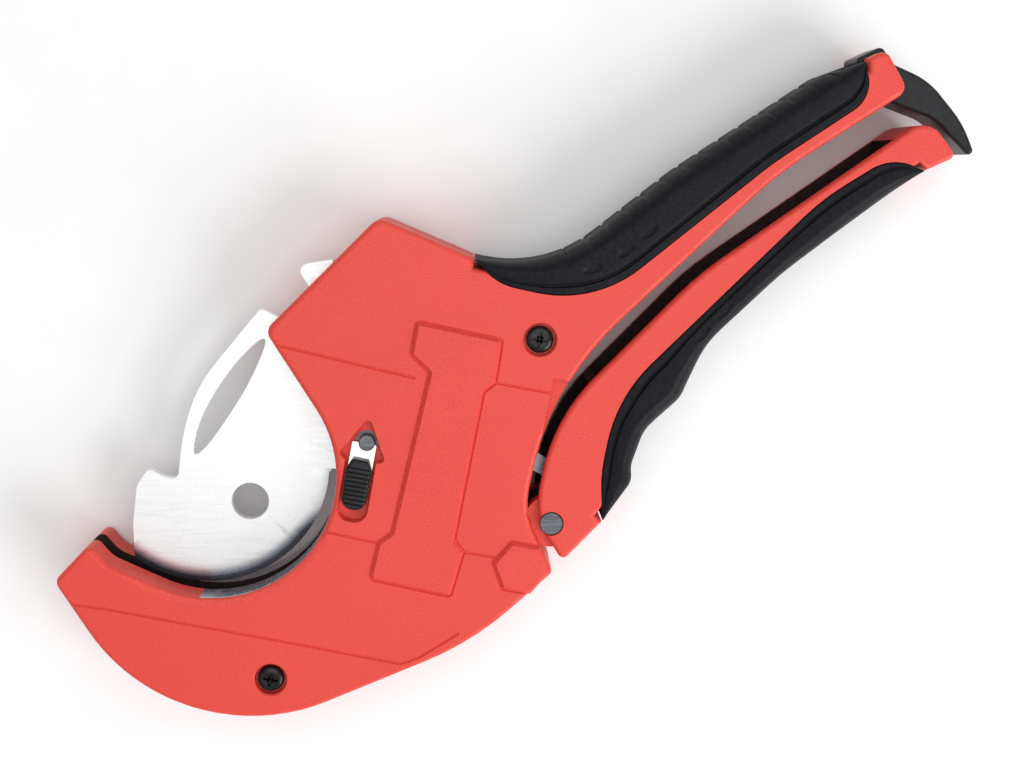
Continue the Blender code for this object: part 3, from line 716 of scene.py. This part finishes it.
def blade_steel():
    """Polished sides that turn grey and frosted over the band the grinder cut behind the cutting edge; the
    band's grey-to-dark colour fades in along one direction round the edge, a painted reflection over a real
    bevel.
    """
    low, high = (0.93, 0.935, 0.94), (0.965, 0.97, 0.975)
    material, tree, shader = steel("blade_steel", low, high, 0.30, 120.0, 0.0)
    place = tree.nodes.new("ShaderNodeTexCoord").outputs["Object"]
    centre = place_point(*EDGE_CENTRE)
    flat = tree.nodes.new("ShaderNodeVectorMath")
    flat.operation = "MULTIPLY"
    flat.inputs[1].default_value = (1.0, 1.0, 0.0)
    tree.links.new(place, flat.inputs[0])
    away = tree.nodes.new("ShaderNodeVectorMath")
    away.operation = "DISTANCE"
    away.inputs[1].default_value = (centre.x, centre.y, 0.0)
    tree.links.new(flat.outputs["Vector"], away.inputs[0])
    band = stretched(tree, away.outputs["Value"], *GROUND_BAND)
    # the band darkens only along this way round the edge: painted reflection
    x, y = polar(1.0, REFLECTION_WAY + LIE_TURN)
    reflection_fade = along(tree, place, (centre.x, centre.y, 0.0), (x, y, 0.0), *REFLECTION_REACH)
    frost = maths(tree, "MULTIPLY", noise(tree, 1300.0, 6.0, 0.85), 0.9)
    amount = maths(tree, "MULTIPLY", maths(tree, "ADD", band, maths(tree, "MULTIPLY", frost, band)), reflection_fade)
    white, grey, dark = (1.0, 1.0, 1.0), (0.36, 0.375, 0.42), (0.06, 0.065, 0.085)
    shade = ramp(tree, amount, (0.12, white), (0.62, grey), (0.98, dark))
    inside = maths(tree, "LESS_THAN", away.outputs["Value"], GROUND_END)
    set_inputs(shader, Metallic=0.55)
    base = shader.inputs["Base Color"].links[0].from_socket
    tree.links.new(mix(tree, base, shade, inside, "MULTIPLY"), shader.inputs["Base Color"])
    return material


# Pieces


def place_point(x, y, z=0.0):
    """A point of the design frame in the world, in metres."""
    turn = Matrix.Rotation(math.radians(LIE_TURN), 4, "Z")
    shift = Vector((LIE_SHIFT[0] * MM, LIE_SHIFT[1] * MM, (LIE_HEIGHT + z) * MM))
    return turn @ Vector((x * MM, y * MM, 0.0)) + shift


def as_object(name, mesh):
    bmesh.ops.recalc_face_normals(mesh, faces=mesh.faces)
    data = bpy.data.meshes.new(name)
    mesh.to_mesh(data)
    mesh.free()
    made = bpy.data.objects.new(name, data)
    bpy.context.scene.collection.objects.link(made)
    return made


class Work:
    """A piece in the making: a base solid, and the shapes joined to it or cut from it, in order."""

    def __init__(self, name, mesh):
        self.name = name
        self.base = as_object(name, mesh)
        self.helpers = []

    def change(self, mesh, operation):
        helper = as_object("helper", mesh)
        modifier = self.base.modifiers.new("step", "BOOLEAN")
        modifier.operation = operation
        modifier.object = helper
        modifier.solver = "EXACT"
        self.helpers.append(helper)

    def cut(self, *meshes):
        for mesh in meshes:
            self.change(mesh, "DIFFERENCE")

    def join(self, *meshes):
        for mesh in meshes:
            self.change(mesh, "UNION")

    def finish(self, node, body, materials, smooth=34.0):
        """Applies the steps, turns the mesh into the world, and lets it stand for its CAD node."""
        graph = bpy.context.evaluated_depsgraph_get()
        data = bpy.data.meshes.new_from_object(self.base.evaluated_get(graph))
        self.base.modifiers.clear()
        self.base.data = data
        for helper in self.helpers:
            bpy.data.objects.remove(helper)
        turn = Matrix.Rotation(math.radians(LIE_TURN), 4, "Z")
        lift = Matrix.Translation(Vector((LIE_SHIFT[0], LIE_SHIFT[1], LIE_HEIGHT)) * MM)
        data.transform(lift @ turn)
        clean = bmesh.new()
        clean.from_mesh(data)
        bmesh.ops.dissolve_degenerate(clean, dist=0.000002, edges=clean.edges)
        clean.to_mesh(data)
        clean.free()
        data.materials.clear()
        for material in materials:
            data.materials.append(material)
        data.shade_smooth()
        data.set_sharp_from_angle(angle=math.radians(smooth))
        evened = self.base.modifiers.new("even normals", "WEIGHTED_NORMAL")
        evened.keep_sharp = True
        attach(self.base, body)
        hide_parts(node)
        return self.base


def quarter(low, high, reach, steps=5):
    """Levels from the side at z low up a quarter ellipse to the face at z high, inset by its reach."""
    levels = []
    for i in range(steps + 1):
        angle = math.pi / 2 * i / steps
        levels.append((low + (high - low) * math.sin(angle), reach * (1 - math.cos(angle))))
    return levels


def both_ways(levels):
    return mirrored(levels) + levels


def one_side(levels, side):
    return levels if side > 0 else mirrored(levels)


def ramped(outline, side, low, high, slope):
    """A raised pad with sloped shoulders."""
    return slab(outline, one_side([(low - 1.0, 0.0), (low, 0.0), (high, slope)], side))


def score(path, side):
    """A shallow V line along a path on the housing's face."""
    outline = offset(path, 0.08, closed=False) + offset(path, -0.08, closed=False)[::-1]
    levels = [(BODY_HALF - SCORE_DEPTH, 0.0)]
    levels += [(BODY_HALF + 0.1, -SCORE_SPREAD), (BODY_HALF + 2.0, -SCORE_SPREAD)]
    return slab(outline, one_side(levels, side))


def moat(outline, side):
    """The narrow trough round the foot of a raised pad."""
    levels = [(BODY_HALF - SCORE_DEPTH, -0.25), (BODY_HALF + 0.1, -0.70), (BODY_HALF + 2.0, -0.72)]
    return slab(outline, one_side(levels, side))


def ring_cutter(centre, section, start, end, count=60):
    """A sector of a ring whose section is given as (radius, z) pairs."""
    angles = [start + (end - start) * i / count for i in range(count + 1)]
    rings = [[(*polar(radius, angle, centre), z) for radius, z in section] for angle in angles]
    return loft(rings, standing=True)


def inside_only(face, data, limit):
    """True for a face of a hollow, which stays within a height of the blade's plane."""
    return all(abs(data.vertices[i].co.z - LIE_HEIGHT * MM) < limit * MM for i in face.vertices)


def shell_piece(name, node, side, red, grey_wall, dark):
    rim = [(PARTING, 0.25), (PARTING + 0.25, 0.0)] + quarter(BODY_HALF - BODY_ROUND, BODY_HALF, BODY_ROUND)
    work = Work(name, slab(housing_outline(), one_side(rim, side)))
    work.join(disc(HANDLE_PIVOT, LUG_R, *on_side(side, PARTING, HOLLOW_HALF)))
    for path in SCORED_LINES:
        work.cut(score(path, side))
    inner, outer = MOUTH_R - LIP_IN, MOUTH_R + LIP_OUT
    lip = [(inner, BODY_HALF - LIP_DROP), (outer, BODY_HALF + 0.02), (outer, 15.0), (inner, 15.0)]
    work.cut(ring_cutter(MOUTH_CENTRE, [(radius, z * side) for radius, z in lip], -152.0, -19.0))
    pads = (panel_outline(), hexagon(CORNER_BOSS, CORNER_BOSS_R))
    for outline in pads:
        work.cut(moat(outline, side))
    for outline in pads:
        work.join(ramped(outline, side, BODY_HALF, BODY_HALF + PANEL_RISE, PAD_SLOPE))
    work.cut(*mechanism_cutters())
    ear = [(44.6, 26.0), (44.6, -10.9), (55.2, -25.4), (75.0, -25.4), (75.0, 26.0)]
    work.cut(prism(ear, *on_side(side, HOLLOW_HALF, BODY_HALF + 3.0)))
    work.cut(disc(HANDLE_PIVOT, LUG_R + 1.0, -LUG_INNER, LUG_INNER))
    work.cut(prism(spring_leg_room(), -LUG_INNER, LUG_INNER))
    work.cut(prism(handle_hollow(), -EAR_INNER, EAR_INNER))
    work.cut(prism(knob_room(), -LATCH_HALF - 0.5, LATCH_HALF + 0.5))
    seat = grip_seat(upper_grip_crest(), upper_grip_seam())
    work.cut(prism(seat, *on_side(side, GRIP_FLOOR - GAP, BODY_HALF + 3.0)))
    pivot_holes(work, side)
    piece = work.finish(node, "housing", [red, grey_wall, dark])
    centre = place_point(*MOUTH_CENTRE)
    for face in piece.data.polygons:
        arm = face.center - centre
        turn = math.degrees(math.atan2(arm.y, arm.x)) - LIE_TURN
        on_wall = abs(math.hypot(arm.x, arm.y) - MOUTH_R * MM) < WALL_SLACK and abs(face.normal.z) < 0.2
        # faces on the mouth's wall between the two angles take grey metal instead of the red coat
        if on_wall and GREY_WALL_FROM < turn < GREY_WALL_TO:
            face.material_index = 1
        # faces within the hollows take the near-black painted shade
        elif inside_only(face, piece.data, HOLLOW_HALF - GAP):
            face.material_index = 2
    return piece


def pivot_holes(work, side):
    hole = SCREW_SHAFT_R + GAP
    work.cut(disc(HANDLE_PIVOT, HANDLE_PIN_R + GAP, *on_side(side, 0.0, BODY_HALF)))
    hold_end, latch_end = (9.0, 11.0) if side > 0 else (BODY_HALF + 1, BODY_HALF + 1)
    work.cut(disc(HOLD_PIVOT, HOLD_PIN_R + PIN_PLAY, *on_side(side, -1.0, hold_end)))
    work.cut(disc(LATCH_PIVOT, LATCH_PIN_R + PIN_PLAY, *on_side(side, 0.0, latch_end)))
    if side > 0:
        lips = [(LOCK_FLOOR, 0.0), (BODY_HALF - 0.5, 0.0), (BODY_HALF, -0.3), (BODY_HALF + 0.4, -0.9)]
        work.cut(slab(arrow_outline(), lips))
        work.cut(disc((0.0, 0.0), BLADE_PIN_R + PIN_PLAY, -1.0, LOCK_FLOOR + 1))
        for at in SCREWS.values():
            recess = [(SCREW_RECESS_R, SCREW_SEAT), (SCREW_RECESS_R, 11.6), (SCREW_RECESS_R + 0.7, 12.4)]
            work.cut(turned(recess, at))
            work.cut(disc(at, hole, -1.0, SCREW_SEAT + 1))
        work.cut(disc(CORNER_BOSS, hole, -1.0, 9.0))
        return
    work.cut(disc((0.0, 0.0), 5.0, -BODY_HALF - 1, -9.6))
    work.cut(disc((0.0, 0.0), BLADE_PIN_R + PIN_PLAY, -10.0, 1.0))
    for at in SCREWS.values():
        work.cut(prism(hexagon(at, NUT_R + 0.35), -BODY_HALF - 1, -9.2))
        work.cut(disc(at, hole, -10.0, 1.0))
    recess = [(SCREW_RECESS_R + 0.7, -13.2), (SCREW_RECESS_R, -12.4), (SCREW_RECESS_R, -SCREW_SEAT)]
    work.cut(turned(recess, CORNER_BOSS))
    work.cut(disc(CORNER_BOSS, hole, -10.0, 1.0))


def edge_grinder(side):
    """Grinds the bevel behind the cutting edge."""
    section = [(GRIND_START, BLADE_HALF + 0.01), (36.0, BLADE_HALF + 0.5), (36.0, -0.40), (EDGE_R, 0.08)]
    return ring_cutter(EDGE_CENTRE, [(radius, z * side) for radius, z in section], *GRIND_ARC)


def blade_piece(polished):
    levels = [(BLADE_HALF - BLADE_ROUND, 0.0), (BLADE_HALF, BLADE_ROUND)]
    work = Work("blade_fine", slab(blade_outline(), both_ways(levels)))
    rim = [(-1.6, -0.5), (-1.2, -0.15), (-1.05, 0.0), (1.05, 0.0), (1.2, -0.15), (1.6, -0.5)]
    work.cut(slab(blade_window(), rim))
    lip = [(BLADE_HOLE_R, 1.0), (BLADE_HOLE_R + 0.15, BLADE_HALF), (BLADE_HOLE_R + 0.5, 1.6)]
    hole = [(radius, -z) for radius, z in reversed(lip)] + lip
    work.cut(turned(hole, BLADE_HOLE))
    work.cut(disc((0.0, 0.0), BLADE_PIN_R + PIN_PLAY, -3.0, 3.0))
    work.cut(edge_grinder(1), edge_grinder(-1))
    scribe = [(-18.7, -3.65), (-4.0, -6.95), (-4.0, -7.45), (-18.7, -3.95)]
    work.cut(prism(scribe, BLADE_HALF - 0.3, 3.0))
    return work.finish("blade", "blade", [polished], smooth=20.0)


def lens(centre, length, width, turn, low, high):
    """A shallow oval dish, deepest at z low."""
    levels = [(0.35, low), (0.75, low + 0.25 * (high - low)), (1.0, high), (1.25, 2 * high - low)]
    c, s = math.cos(turn), math.sin(turn)
    rings = []
    for size, z in levels:
        ring = []
        for i in range(DISH_SIDES):
            x, y = polar(1.0, 360 * i / DISH_SIDES)
            x, y = x * length / 2 * size, y * width / 2 * size
            ring.append((centre[0] + x * c - y * s, centre[1] + x * s + y * c, z))
        rings.append(ring)
    return loft(rings)


def resampled(points, count):
    """The same polyline through evenly spaced points."""
    lengths = [math.dist(a, b) for a, b in zip(points, points[1:])]
    total, run, found, i = sum(lengths), 0.0, [], 0
    for step in range(count + 1):
        wanted = total * step / count
        while i < len(lengths) - 1 and run + lengths[i] < wanted:
            run += lengths[i]
            i += 1
        t = min(1.0, (wanted - run) / lengths[i])
        (ax, ay), (bx, by) = points[i], points[i + 1]
        found.append((ax + t * (bx - ax), ay + t * (by - ay)))
    return found, total


def sleeve_section(width, dent):
    """Half of a sleeve's section from the seam to the crest: distances from the seam, and heights."""
    k = min(1.0, width / 11.0)
    rim = BODY_HALF + 0.1
    top = rim + (GRIP_HALF - 0.02 - rim) * k
    section = [(0.0, rim - 0.6), (0.25, rim - 0.15), (0.6, rim), (2.0, rim + 0.05), (2.25, rim - 0.95 * k)]
    section += [(2.9, rim - 0.95 * k), (3.15, rim + 0.1 * k), (4.2, rim + 0.45 * k)]
    section = [(u * k, z) for u, z in section]
    reach, low = 4.8 * k, 5.5 * k + (rim - 2.0) * (1 - k)
    for i in range(11):
        angle = math.pi / 2 * i / 10
        fall = dent * math.sin(angle) ** 2
        out = width - reach + (reach - fall) * math.sin(angle)
        section.append((out, low + (top - low) * math.cos(angle) - fall / 2))
    return section


def sleeve_body(crest, seam, ribs):
    """A loft from the seam to the crest. The ribs are (first, last, pitch) along the crest."""
    crest, length = resampled(crest, SLEEVE_STEPS)
    seam = resampled(seam, SLEEVE_STEPS)[0]
    rings = []
    for i, (outer, inner) in enumerate(zip(crest, seam)):
        width = math.dist(outer, inner)
        if width < SLEEVE_LEAST:
            continue
        at, dent = length * i / SLEEVE_STEPS, 0.0
        if ribs and ribs[0] < at < ribs[1]:
            dent = RIB_DEPTH * max(0.0, math.cos(math.tau * (at - ribs[0]) / ribs[2])) ** 8
        half = sleeve_section(width, dent)
        ring = []
        for u, z in half + [(u, -z) for u, z in reversed(half)]:
            x, y = (inner[j] + (outer[j] - inner[j]) * u / width for j in (0, 1))
            ring.append((x, y, z))
        rings.append(ring)
    return loft(rings, standing=True)


def sleeve_piece(node, body, crest, seam, dishes, ribs, black):
    """A rubber sleeve: a flat rim band along the seam, a groove, then a round bulge with cross ribs."""
    work = Work(f"{node}_fine", sleeve_body(crest, seam, ribs))
    inner = offset(crest, GAP - GRIP_SKIN, closed=False)
    wide = offset(seam, -GRIP_LAP, closed=False)
    work.cut(prism(inner + wide[::-1], 0.25 - GRIP_FLOOR, GRIP_FLOOR - 0.25))
    for centre, turn in dishes:
        for side in (1, -1):
            levels = (GRIP_HALF - 0.75, GRIP_HALF - 0.1)
            mesh = lens(centre, DISH_LENGTH, DISH_WIDTH, math.radians(turn), *levels)
            if side < 0:
                mesh.transform(Matrix.Scale(-1.0, 4, (0, 0, 1)))
            work.cut(mesh)
    if node == "upper_grip":
        work.cut(prism(knob_room(), -LATCH_HALF - 0.5, LATCH_HALF + 0.5))
    return work.finish(node, body, [black], smooth=50.0)


def handle_piece(red, dark):
    levels = quarter(BODY_HALF - 1.2, BODY_HALF, 1.2)
    work = Work("moving_handle_fine", slab(moving_handle_outline(), both_ways(levels)))
    work.cut(prism(handle_channel(), -EAR_INNER, EAR_INNER))
    work.cut(disc(HANDLE_PIVOT, LUG_R + 0.4, -EAR_INNER, EAR_INNER))
    stop = [(54.2, 26.0), (66.5, 17.2), (68.0, 19.2), (55.6, 28.0)]
    work.join(prism(stop, -EAR_INNER - 0.5, EAR_INNER + 0.5))
    work.cut(disc(HANDLE_PIVOT, HANDLE_PIN_R + PIN_PLAY, -BODY_HALF - 1, BODY_HALF + 1))
    for low, high in ((-BODY_HALF - 1, -10.6), (10.6, BODY_HALF + 1)):
        work.cut(disc(HANDLE_PIVOT, HANDLE_PIN_HEAD_R + 0.15, low, high))
    work.cut(disc(DRIVE_PIVOT, DRIVE_PIN_R + PIN_PLAY, -BODY_HALF - 1, 10.6))
    seat = grip_seat(lower_grip_crest(), lower_grip_seam())
    for low, high in ((-BODY_HALF - 1, GAP - GRIP_FLOOR), (GRIP_FLOOR - GAP, BODY_HALF + 1)):
        work.cut(prism(seat, low, high))
    piece = work.finish("moving_handle", "moving_handle", [red, dark])
    # faces inside the channel take the near-black painted shade
    for face in piece.data.polygons:
        if inside_only(face, piece.data, EAR_INNER + 0.05):
            face.material_index = 1


def latch_outline():
    return rounded(
        [
            (110.1, 113.9, 2.0),
            (118.5, 111.9, 4.0),
            (129.0, 110.2, 12.0),
            (139.3, 103.1, 0.8),
            (141.6, 103.4, 1.1),
            (136.5, 110.8, 28.0),
            (125.2, 119.6, 20.0),
            (115.2, 121.8, 2.0),
            (111.2, 125.6, 1.5),
            (105.2, 121.2, 1.2),
            (108.0, 116.9, 2.0),
        ]
    )


def latch_piece(black):
    levels = quarter(LATCH_HALF - 1.0, LATCH_HALF, 1.0, 4)
    work = Work("latch_fine", slab(latch_outline(), both_ways(levels)))
    for i in range(KNOB_NOTCHES):
        t = 0.14 + 0.24 * i
        at = (105.2 + (111.2 - 105.2) * t - 0.5, 121.2 + (125.6 - 121.2) * t + 0.7)
        work.cut(disc(at, KNOB_NOTCH_R, -LATCH_HALF - 1, LATCH_HALF + 1, 24))
    work.cut(disc(LATCH_PIVOT, LATCH_PIN_R + PIN_PLAY, -9.0, 9.0))
    return work.finish("latch", "latch", [black])


def button_piece(black):
    button = rounded(
        [
            (-2.9, -4.6, 0.9),
            (1.4, -4.6, 0.9),
            (2.6, -7.4, 1.5),
            (2.6, -18.2, 2.9),
            (-3.8, -18.2, 2.9),
            (-4.0, -7.4, 1.5),
        ]
    )
    levels = [(BUTTON_FLOOR, 0.0)] + quarter(BUTTON_SHOULDER, BUTTON_TOP, 0.8)
    work = Work("lock_button_fine", slab(button, levels))
    for i in range(BUTTON_GROOVES):
        y = GROOVE_TOP - GROOVE_PITCH * i
        groove = [(-8.0, y), (6.0, y), (6.0, y - GROOVE_WIDTH), (-8.0, y - GROOVE_WIDTH)]
        work.cut(prism(groove, 12.0, 14.0))
    return work.finish("lock_button", "lock_slide", [black])


def plate_piece(bright):
    plate = rounded([(-3.9, -15.5, 1.0), (-3.9, -0.3, 0.5), (2.7, -0.3, 0.5), (2.7, -15.5, 1.0)])
    work = Work("lock_plate_fine", slab(plate, [(9.7, 0.08), (9.78, 0.0), (10.15, 0.0), (10.25, 0.1)]))
    fork = arc((0.0, 0.0), 1.8, -180.0, 0.0) + [(1.8, 4.0), (-1.8, 4.0)]
    work.cut(prism(fork, 9.0, 11.0))
    return work.finish("lock_plate", "lock_slide", [bright])


def cross_cutters(at, side):
    """A cross-head recess: two tapered bars and a conical pit."""
    cutters = []
    for wide, high in ((2.0, 0.42), (0.42, 2.0)):
        corners = ((-wide, -high), (wide, -high), (wide, high), (-wide, high))
        bar = [(at[0] + x, at[1] + y) for x, y in corners]
        cutters.append(slab(bar, one_side([(10.7, 0.18), (12.6, -0.05)], side)))
    pit = one_side([(10.1, 0.3), (11.1, 1.0), (12.6, 1.15)], side)
    cutters.append(turned([(radius, z) for z, radius in pit], at, 32))
    return cutters


def screw_piece(name, at, side, tail, black):
    head = [(SCREW_SHAFT_R, -tail), (SCREW_SHAFT_R, 9.9), (SCREW_HEAD_R, 9.9), (SCREW_HEAD_R, 10.9)]
    head += [(3.3, 11.4), (2.8, 11.75), (2.0, 11.9)]
    profile = head if side > 0 else [(radius, -z) for radius, z in reversed(head)]
    work = Work(f"{name}_fine", turned(profile, at))
    work.cut(*cross_cutters(at, side))
    return work.finish(name, "housing", [black])


def pin_piece(name, at, profile, body, metal):
    return Work(f"{name}_fine", turned(profile, at)).finish(name, body, [metal])


def capped(radius, low, high, edge=0.25):
    return [(radius - edge, low), (radius, low + edge), (radius, high - edge), (radius - edge, high)]


def pins(metal, dull):
    head = HANDLE_PIN_HEAD_R
    half = [(HANDLE_PIN_R, PIN_HEAD_FLOOR), (head, PIN_HEAD_FLOOR), (head, 11.75), (head - 0.25, BODY_HALF)]
    profile = [(radius, -z) for radius, z in reversed(half)] + half
    pin_piece("handle_pivot_pin", HANDLE_PIVOT, profile, "housing", dull)
    profile = [(4.2, -11.6), (4.5, -11.3), (4.5, -9.9), (BLADE_PIN_R, -9.9), (BLADE_PIN_R, 9.2)]
    profile += [(BLADE_NECK_R, 9.2), (BLADE_NECK_R, 10.6), (2.2, 10.6), (2.2, 11.1), (1.9, 11.4)]
    pin_piece("blade_pivot_pin", (0.0, 0.0), profile, "housing", dull)
    pin_piece("drive_pawl_pin", DRIVE_PIVOT, capped(DRIVE_PIN_R, PIN_FAR_END, 10.3), "moving_handle", metal)
    pin_piece("holding_pawl_pin", HOLD_PIVOT, capped(HOLD_PIN_R, PIN_FAR_END, 8.6), "housing", metal)
    pin_piece("latch_pin", LATCH_PIVOT, capped(LATCH_PIN_R, PIN_FAR_END, 10.7), "housing", metal)


def nut_pieces(metal):
    for name, at in SCREWS.items():
        work = Work(f"nut_{name}_fine", prism(hexagon(at, NUT_R), *NUT_LEVELS))
        ring = turned([(NUT_R - 0.5, -11.7), (NUT_R + 0.5, -10.9), (NUT_R + 0.5, -9.0)], at)
        work.change(ring, "INTERSECT")
        work.cut(disc(at, SCREW_SHAFT_R + 0.15, -13.0, -8.0))
        work.finish(f"nut_{name}", "housing", [metal])


def pawls(metal):
    tip = polar(NOSE_R, DRIVE_NOSE_ANGLE)
    levels = [(PAWL_HALF - 0.25, 0.0), (PAWL_HALF, 0.25)]
    work = Work("drive_pawl_fine", slab(bar_pawl(tip, DRIVE_PIVOT, 2.6, 3.4, (1.2, 8.0)), both_ways(levels)))
    work.cut(disc(DRIVE_PIVOT, DRIVE_PIN_R + PIN_PLAY, -4.0, 4.0))
    work.finish("drive_pawl", "drive_pawl", [metal])
    tip = polar(NOSE_R, HOLD_NOSE_ANGLE)
    outline = bar_pawl(tip, HOLD_PIVOT, 1.9, 3.2, (0.3, 4.0))
    work = Work("holding_pawl_fine", slab(outline, both_ways(levels)))
    work.cut(disc(HOLD_PIVOT, HOLD_PIN_R + PIN_PLAY, -4.0, 4.0))
    work.finish("holding_pawl", "holding_pawl", [metal])


def washers(metal):
    for name, side in (("near", 1), ("far", -1)):
        low, high = on_side(side, BLADE_HALF + 0.15, WASHER_OUTER)
        work = Work(f"blade_washer_{name}_fine", turned(capped(HUB_R - 1.5, low, high, 0.15), (0.0, 0.0)))
        work.cut(disc((0.0, 0.0), BLADE_PIN_R + PIN_PLAY, -4.0, 4.0))
        work.finish(f"blade_washer_{name}", "housing", [metal])


def repaint(names, material):
    for name in names:
        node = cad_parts[name]
        if not node.material_slots:
            node.data.materials.append(material)
        for slot in node.material_slots:
            slot.material = material


# Stage, light and camera


def soft_floor():
    data = bpy.data.meshes.new("floor")
    mesh = bmesh.new()
    bmesh.ops.create_grid(mesh, x_segments=2, y_segments=2, size=FLOOR_HALF)
    mesh.to_mesh(data)
    mesh.free()
    floor = bpy.data.objects.new("floor", data)
    floor.location.z = -FLOOR_DROP
    bpy.context.scene.collection.objects.link(floor)
    material, tree, shader = new_material("floor_paper")
    tint = ramp(tree, noise(tree, 30.0), (0.3, (0.93, 0.93, 0.93)), (0.7, (0.96, 0.96, 0.96)))
    tree.links.new(tint, shader.inputs["Base Color"])
    set_inputs(shader, Roughness=0.85)
    data.materials.append(material)


def area_light(name, place, size, power, target=(0.0, 0.0, 0.0)):
    light = bpy.data.lights.new(name, "AREA")
    light.shape = "DISK"
    light.size = size
    light.energy = power
    made = bpy.data.objects.new(name, light)
    made.location = place
    made.rotation_euler = (Vector(place) - Vector(target)).to_track_quat("Z", "Y").to_euler()
    bpy.context.scene.collection.objects.link(made)


def studio():
    world = bpy.data.worlds.new("studio")
    bpy.context.scene.world = world
    world.use_nodes = True
    backdrop = world.node_tree.nodes["Background"]
    backdrop.inputs["Color"].default_value = (1.0, 1.0, 1.0, 1.0)
    backdrop.inputs["Strength"].default_value = WORLD_LIGHT
    area_light("key", (0.75, -0.55, 0.62), 0.8, KEY_LIGHT)
    area_light("overhead", (0.05, 0.25, 1.1), 1.3, OVERHEAD_LIGHT)


def camera():
    """The camera looks down, tilted a little about an axis in the plane of the tool."""
    lens_data = bpy.data.cameras.new("camera")
    lens_data.lens = LENS
    lens_data.sensor_width = 36.0
    made = bpy.data.objects.new("camera", lens_data)
    near_pivot = place_point(0.0, 0.0, BODY_HALF)
    spin = Matrix.Rotation(math.radians(CAMERA_TILT), 4, Vector(CAMERA_AXIS))
    made.matrix_world = Matrix.Translation(near_pivot + Vector(CAMERA_ARM)) @ spin
    bpy.context.scene.collection.objects.link(made)
    bpy.context.scene.camera = made


def main():
    bpy.context.scene.view_settings.view_transform = "Standard"
    camera()
    studio()
    soft_floor()
    red, black, moulded = red_coat(), rubber(), nylon()
    polished = blade_steel()
    metal = steel("pin_steel", (0.28, 0.29, 0.31), (0.42, 0.43, 0.46), 0.32)[0]
    # grey metal for a stretch of the mouth's wall
    grey_wall = steel("grey_jaw_wall", (0.34, 0.33, 0.36), (0.58, 0.56, 0.60), 0.30)[0]
    bright = steel("lock_steel", (0.80, 0.78, 0.74), (0.93, 0.91, 0.88), 0.18)[0]
    springs = steel("spring_steel", (0.36, 0.36, 0.37), (0.55, 0.55, 0.56), 0.25)[0]
    oxide = black_oxide()
    # near-black painted shade for the faces of the hollows
    inside = painted_shade_inside()
    shell_piece("near_shell_fine", "near_shell", 1, red, grey_wall, inside)
    shell_piece("far_shell_fine", "far_shell", -1, red, grey_wall, inside)
    blade_piece(polished)
    upper, lower = (upper_grip_crest(), upper_grip_seam()), (lower_grip_crest(), lower_grip_seam())
    sleeve_piece("upper_grip", "housing", *upper, UPPER_DISHES, UPPER_RIBS, black)
    sleeve_piece("lower_grip", "moving_handle", *lower, LOWER_DISHES, None, black)
    handle_piece(red, inside)
    latch_piece(moulded)
    button_piece(moulded)
    plate_piece(bright)
    pins(metal, steel("dull_steel", (0.10, 0.11, 0.12), (0.20, 0.21, 0.23), 0.40)[0])
    nut_pieces(metal)
    pawls(metal)
    washers(metal)
    for name, at in SCREWS.items():
        screw_piece(f"screw_{name}", at, 1, SCREW_TAIL, oxide)
    screw_piece("screw_corner", CORNER_BOSS, -1, CORNER_SCREW_TAIL, oxide)
    repaint(("handle_return_spring", "drive_pawl_spring", "holding_pawl_spring"), springs)


main()
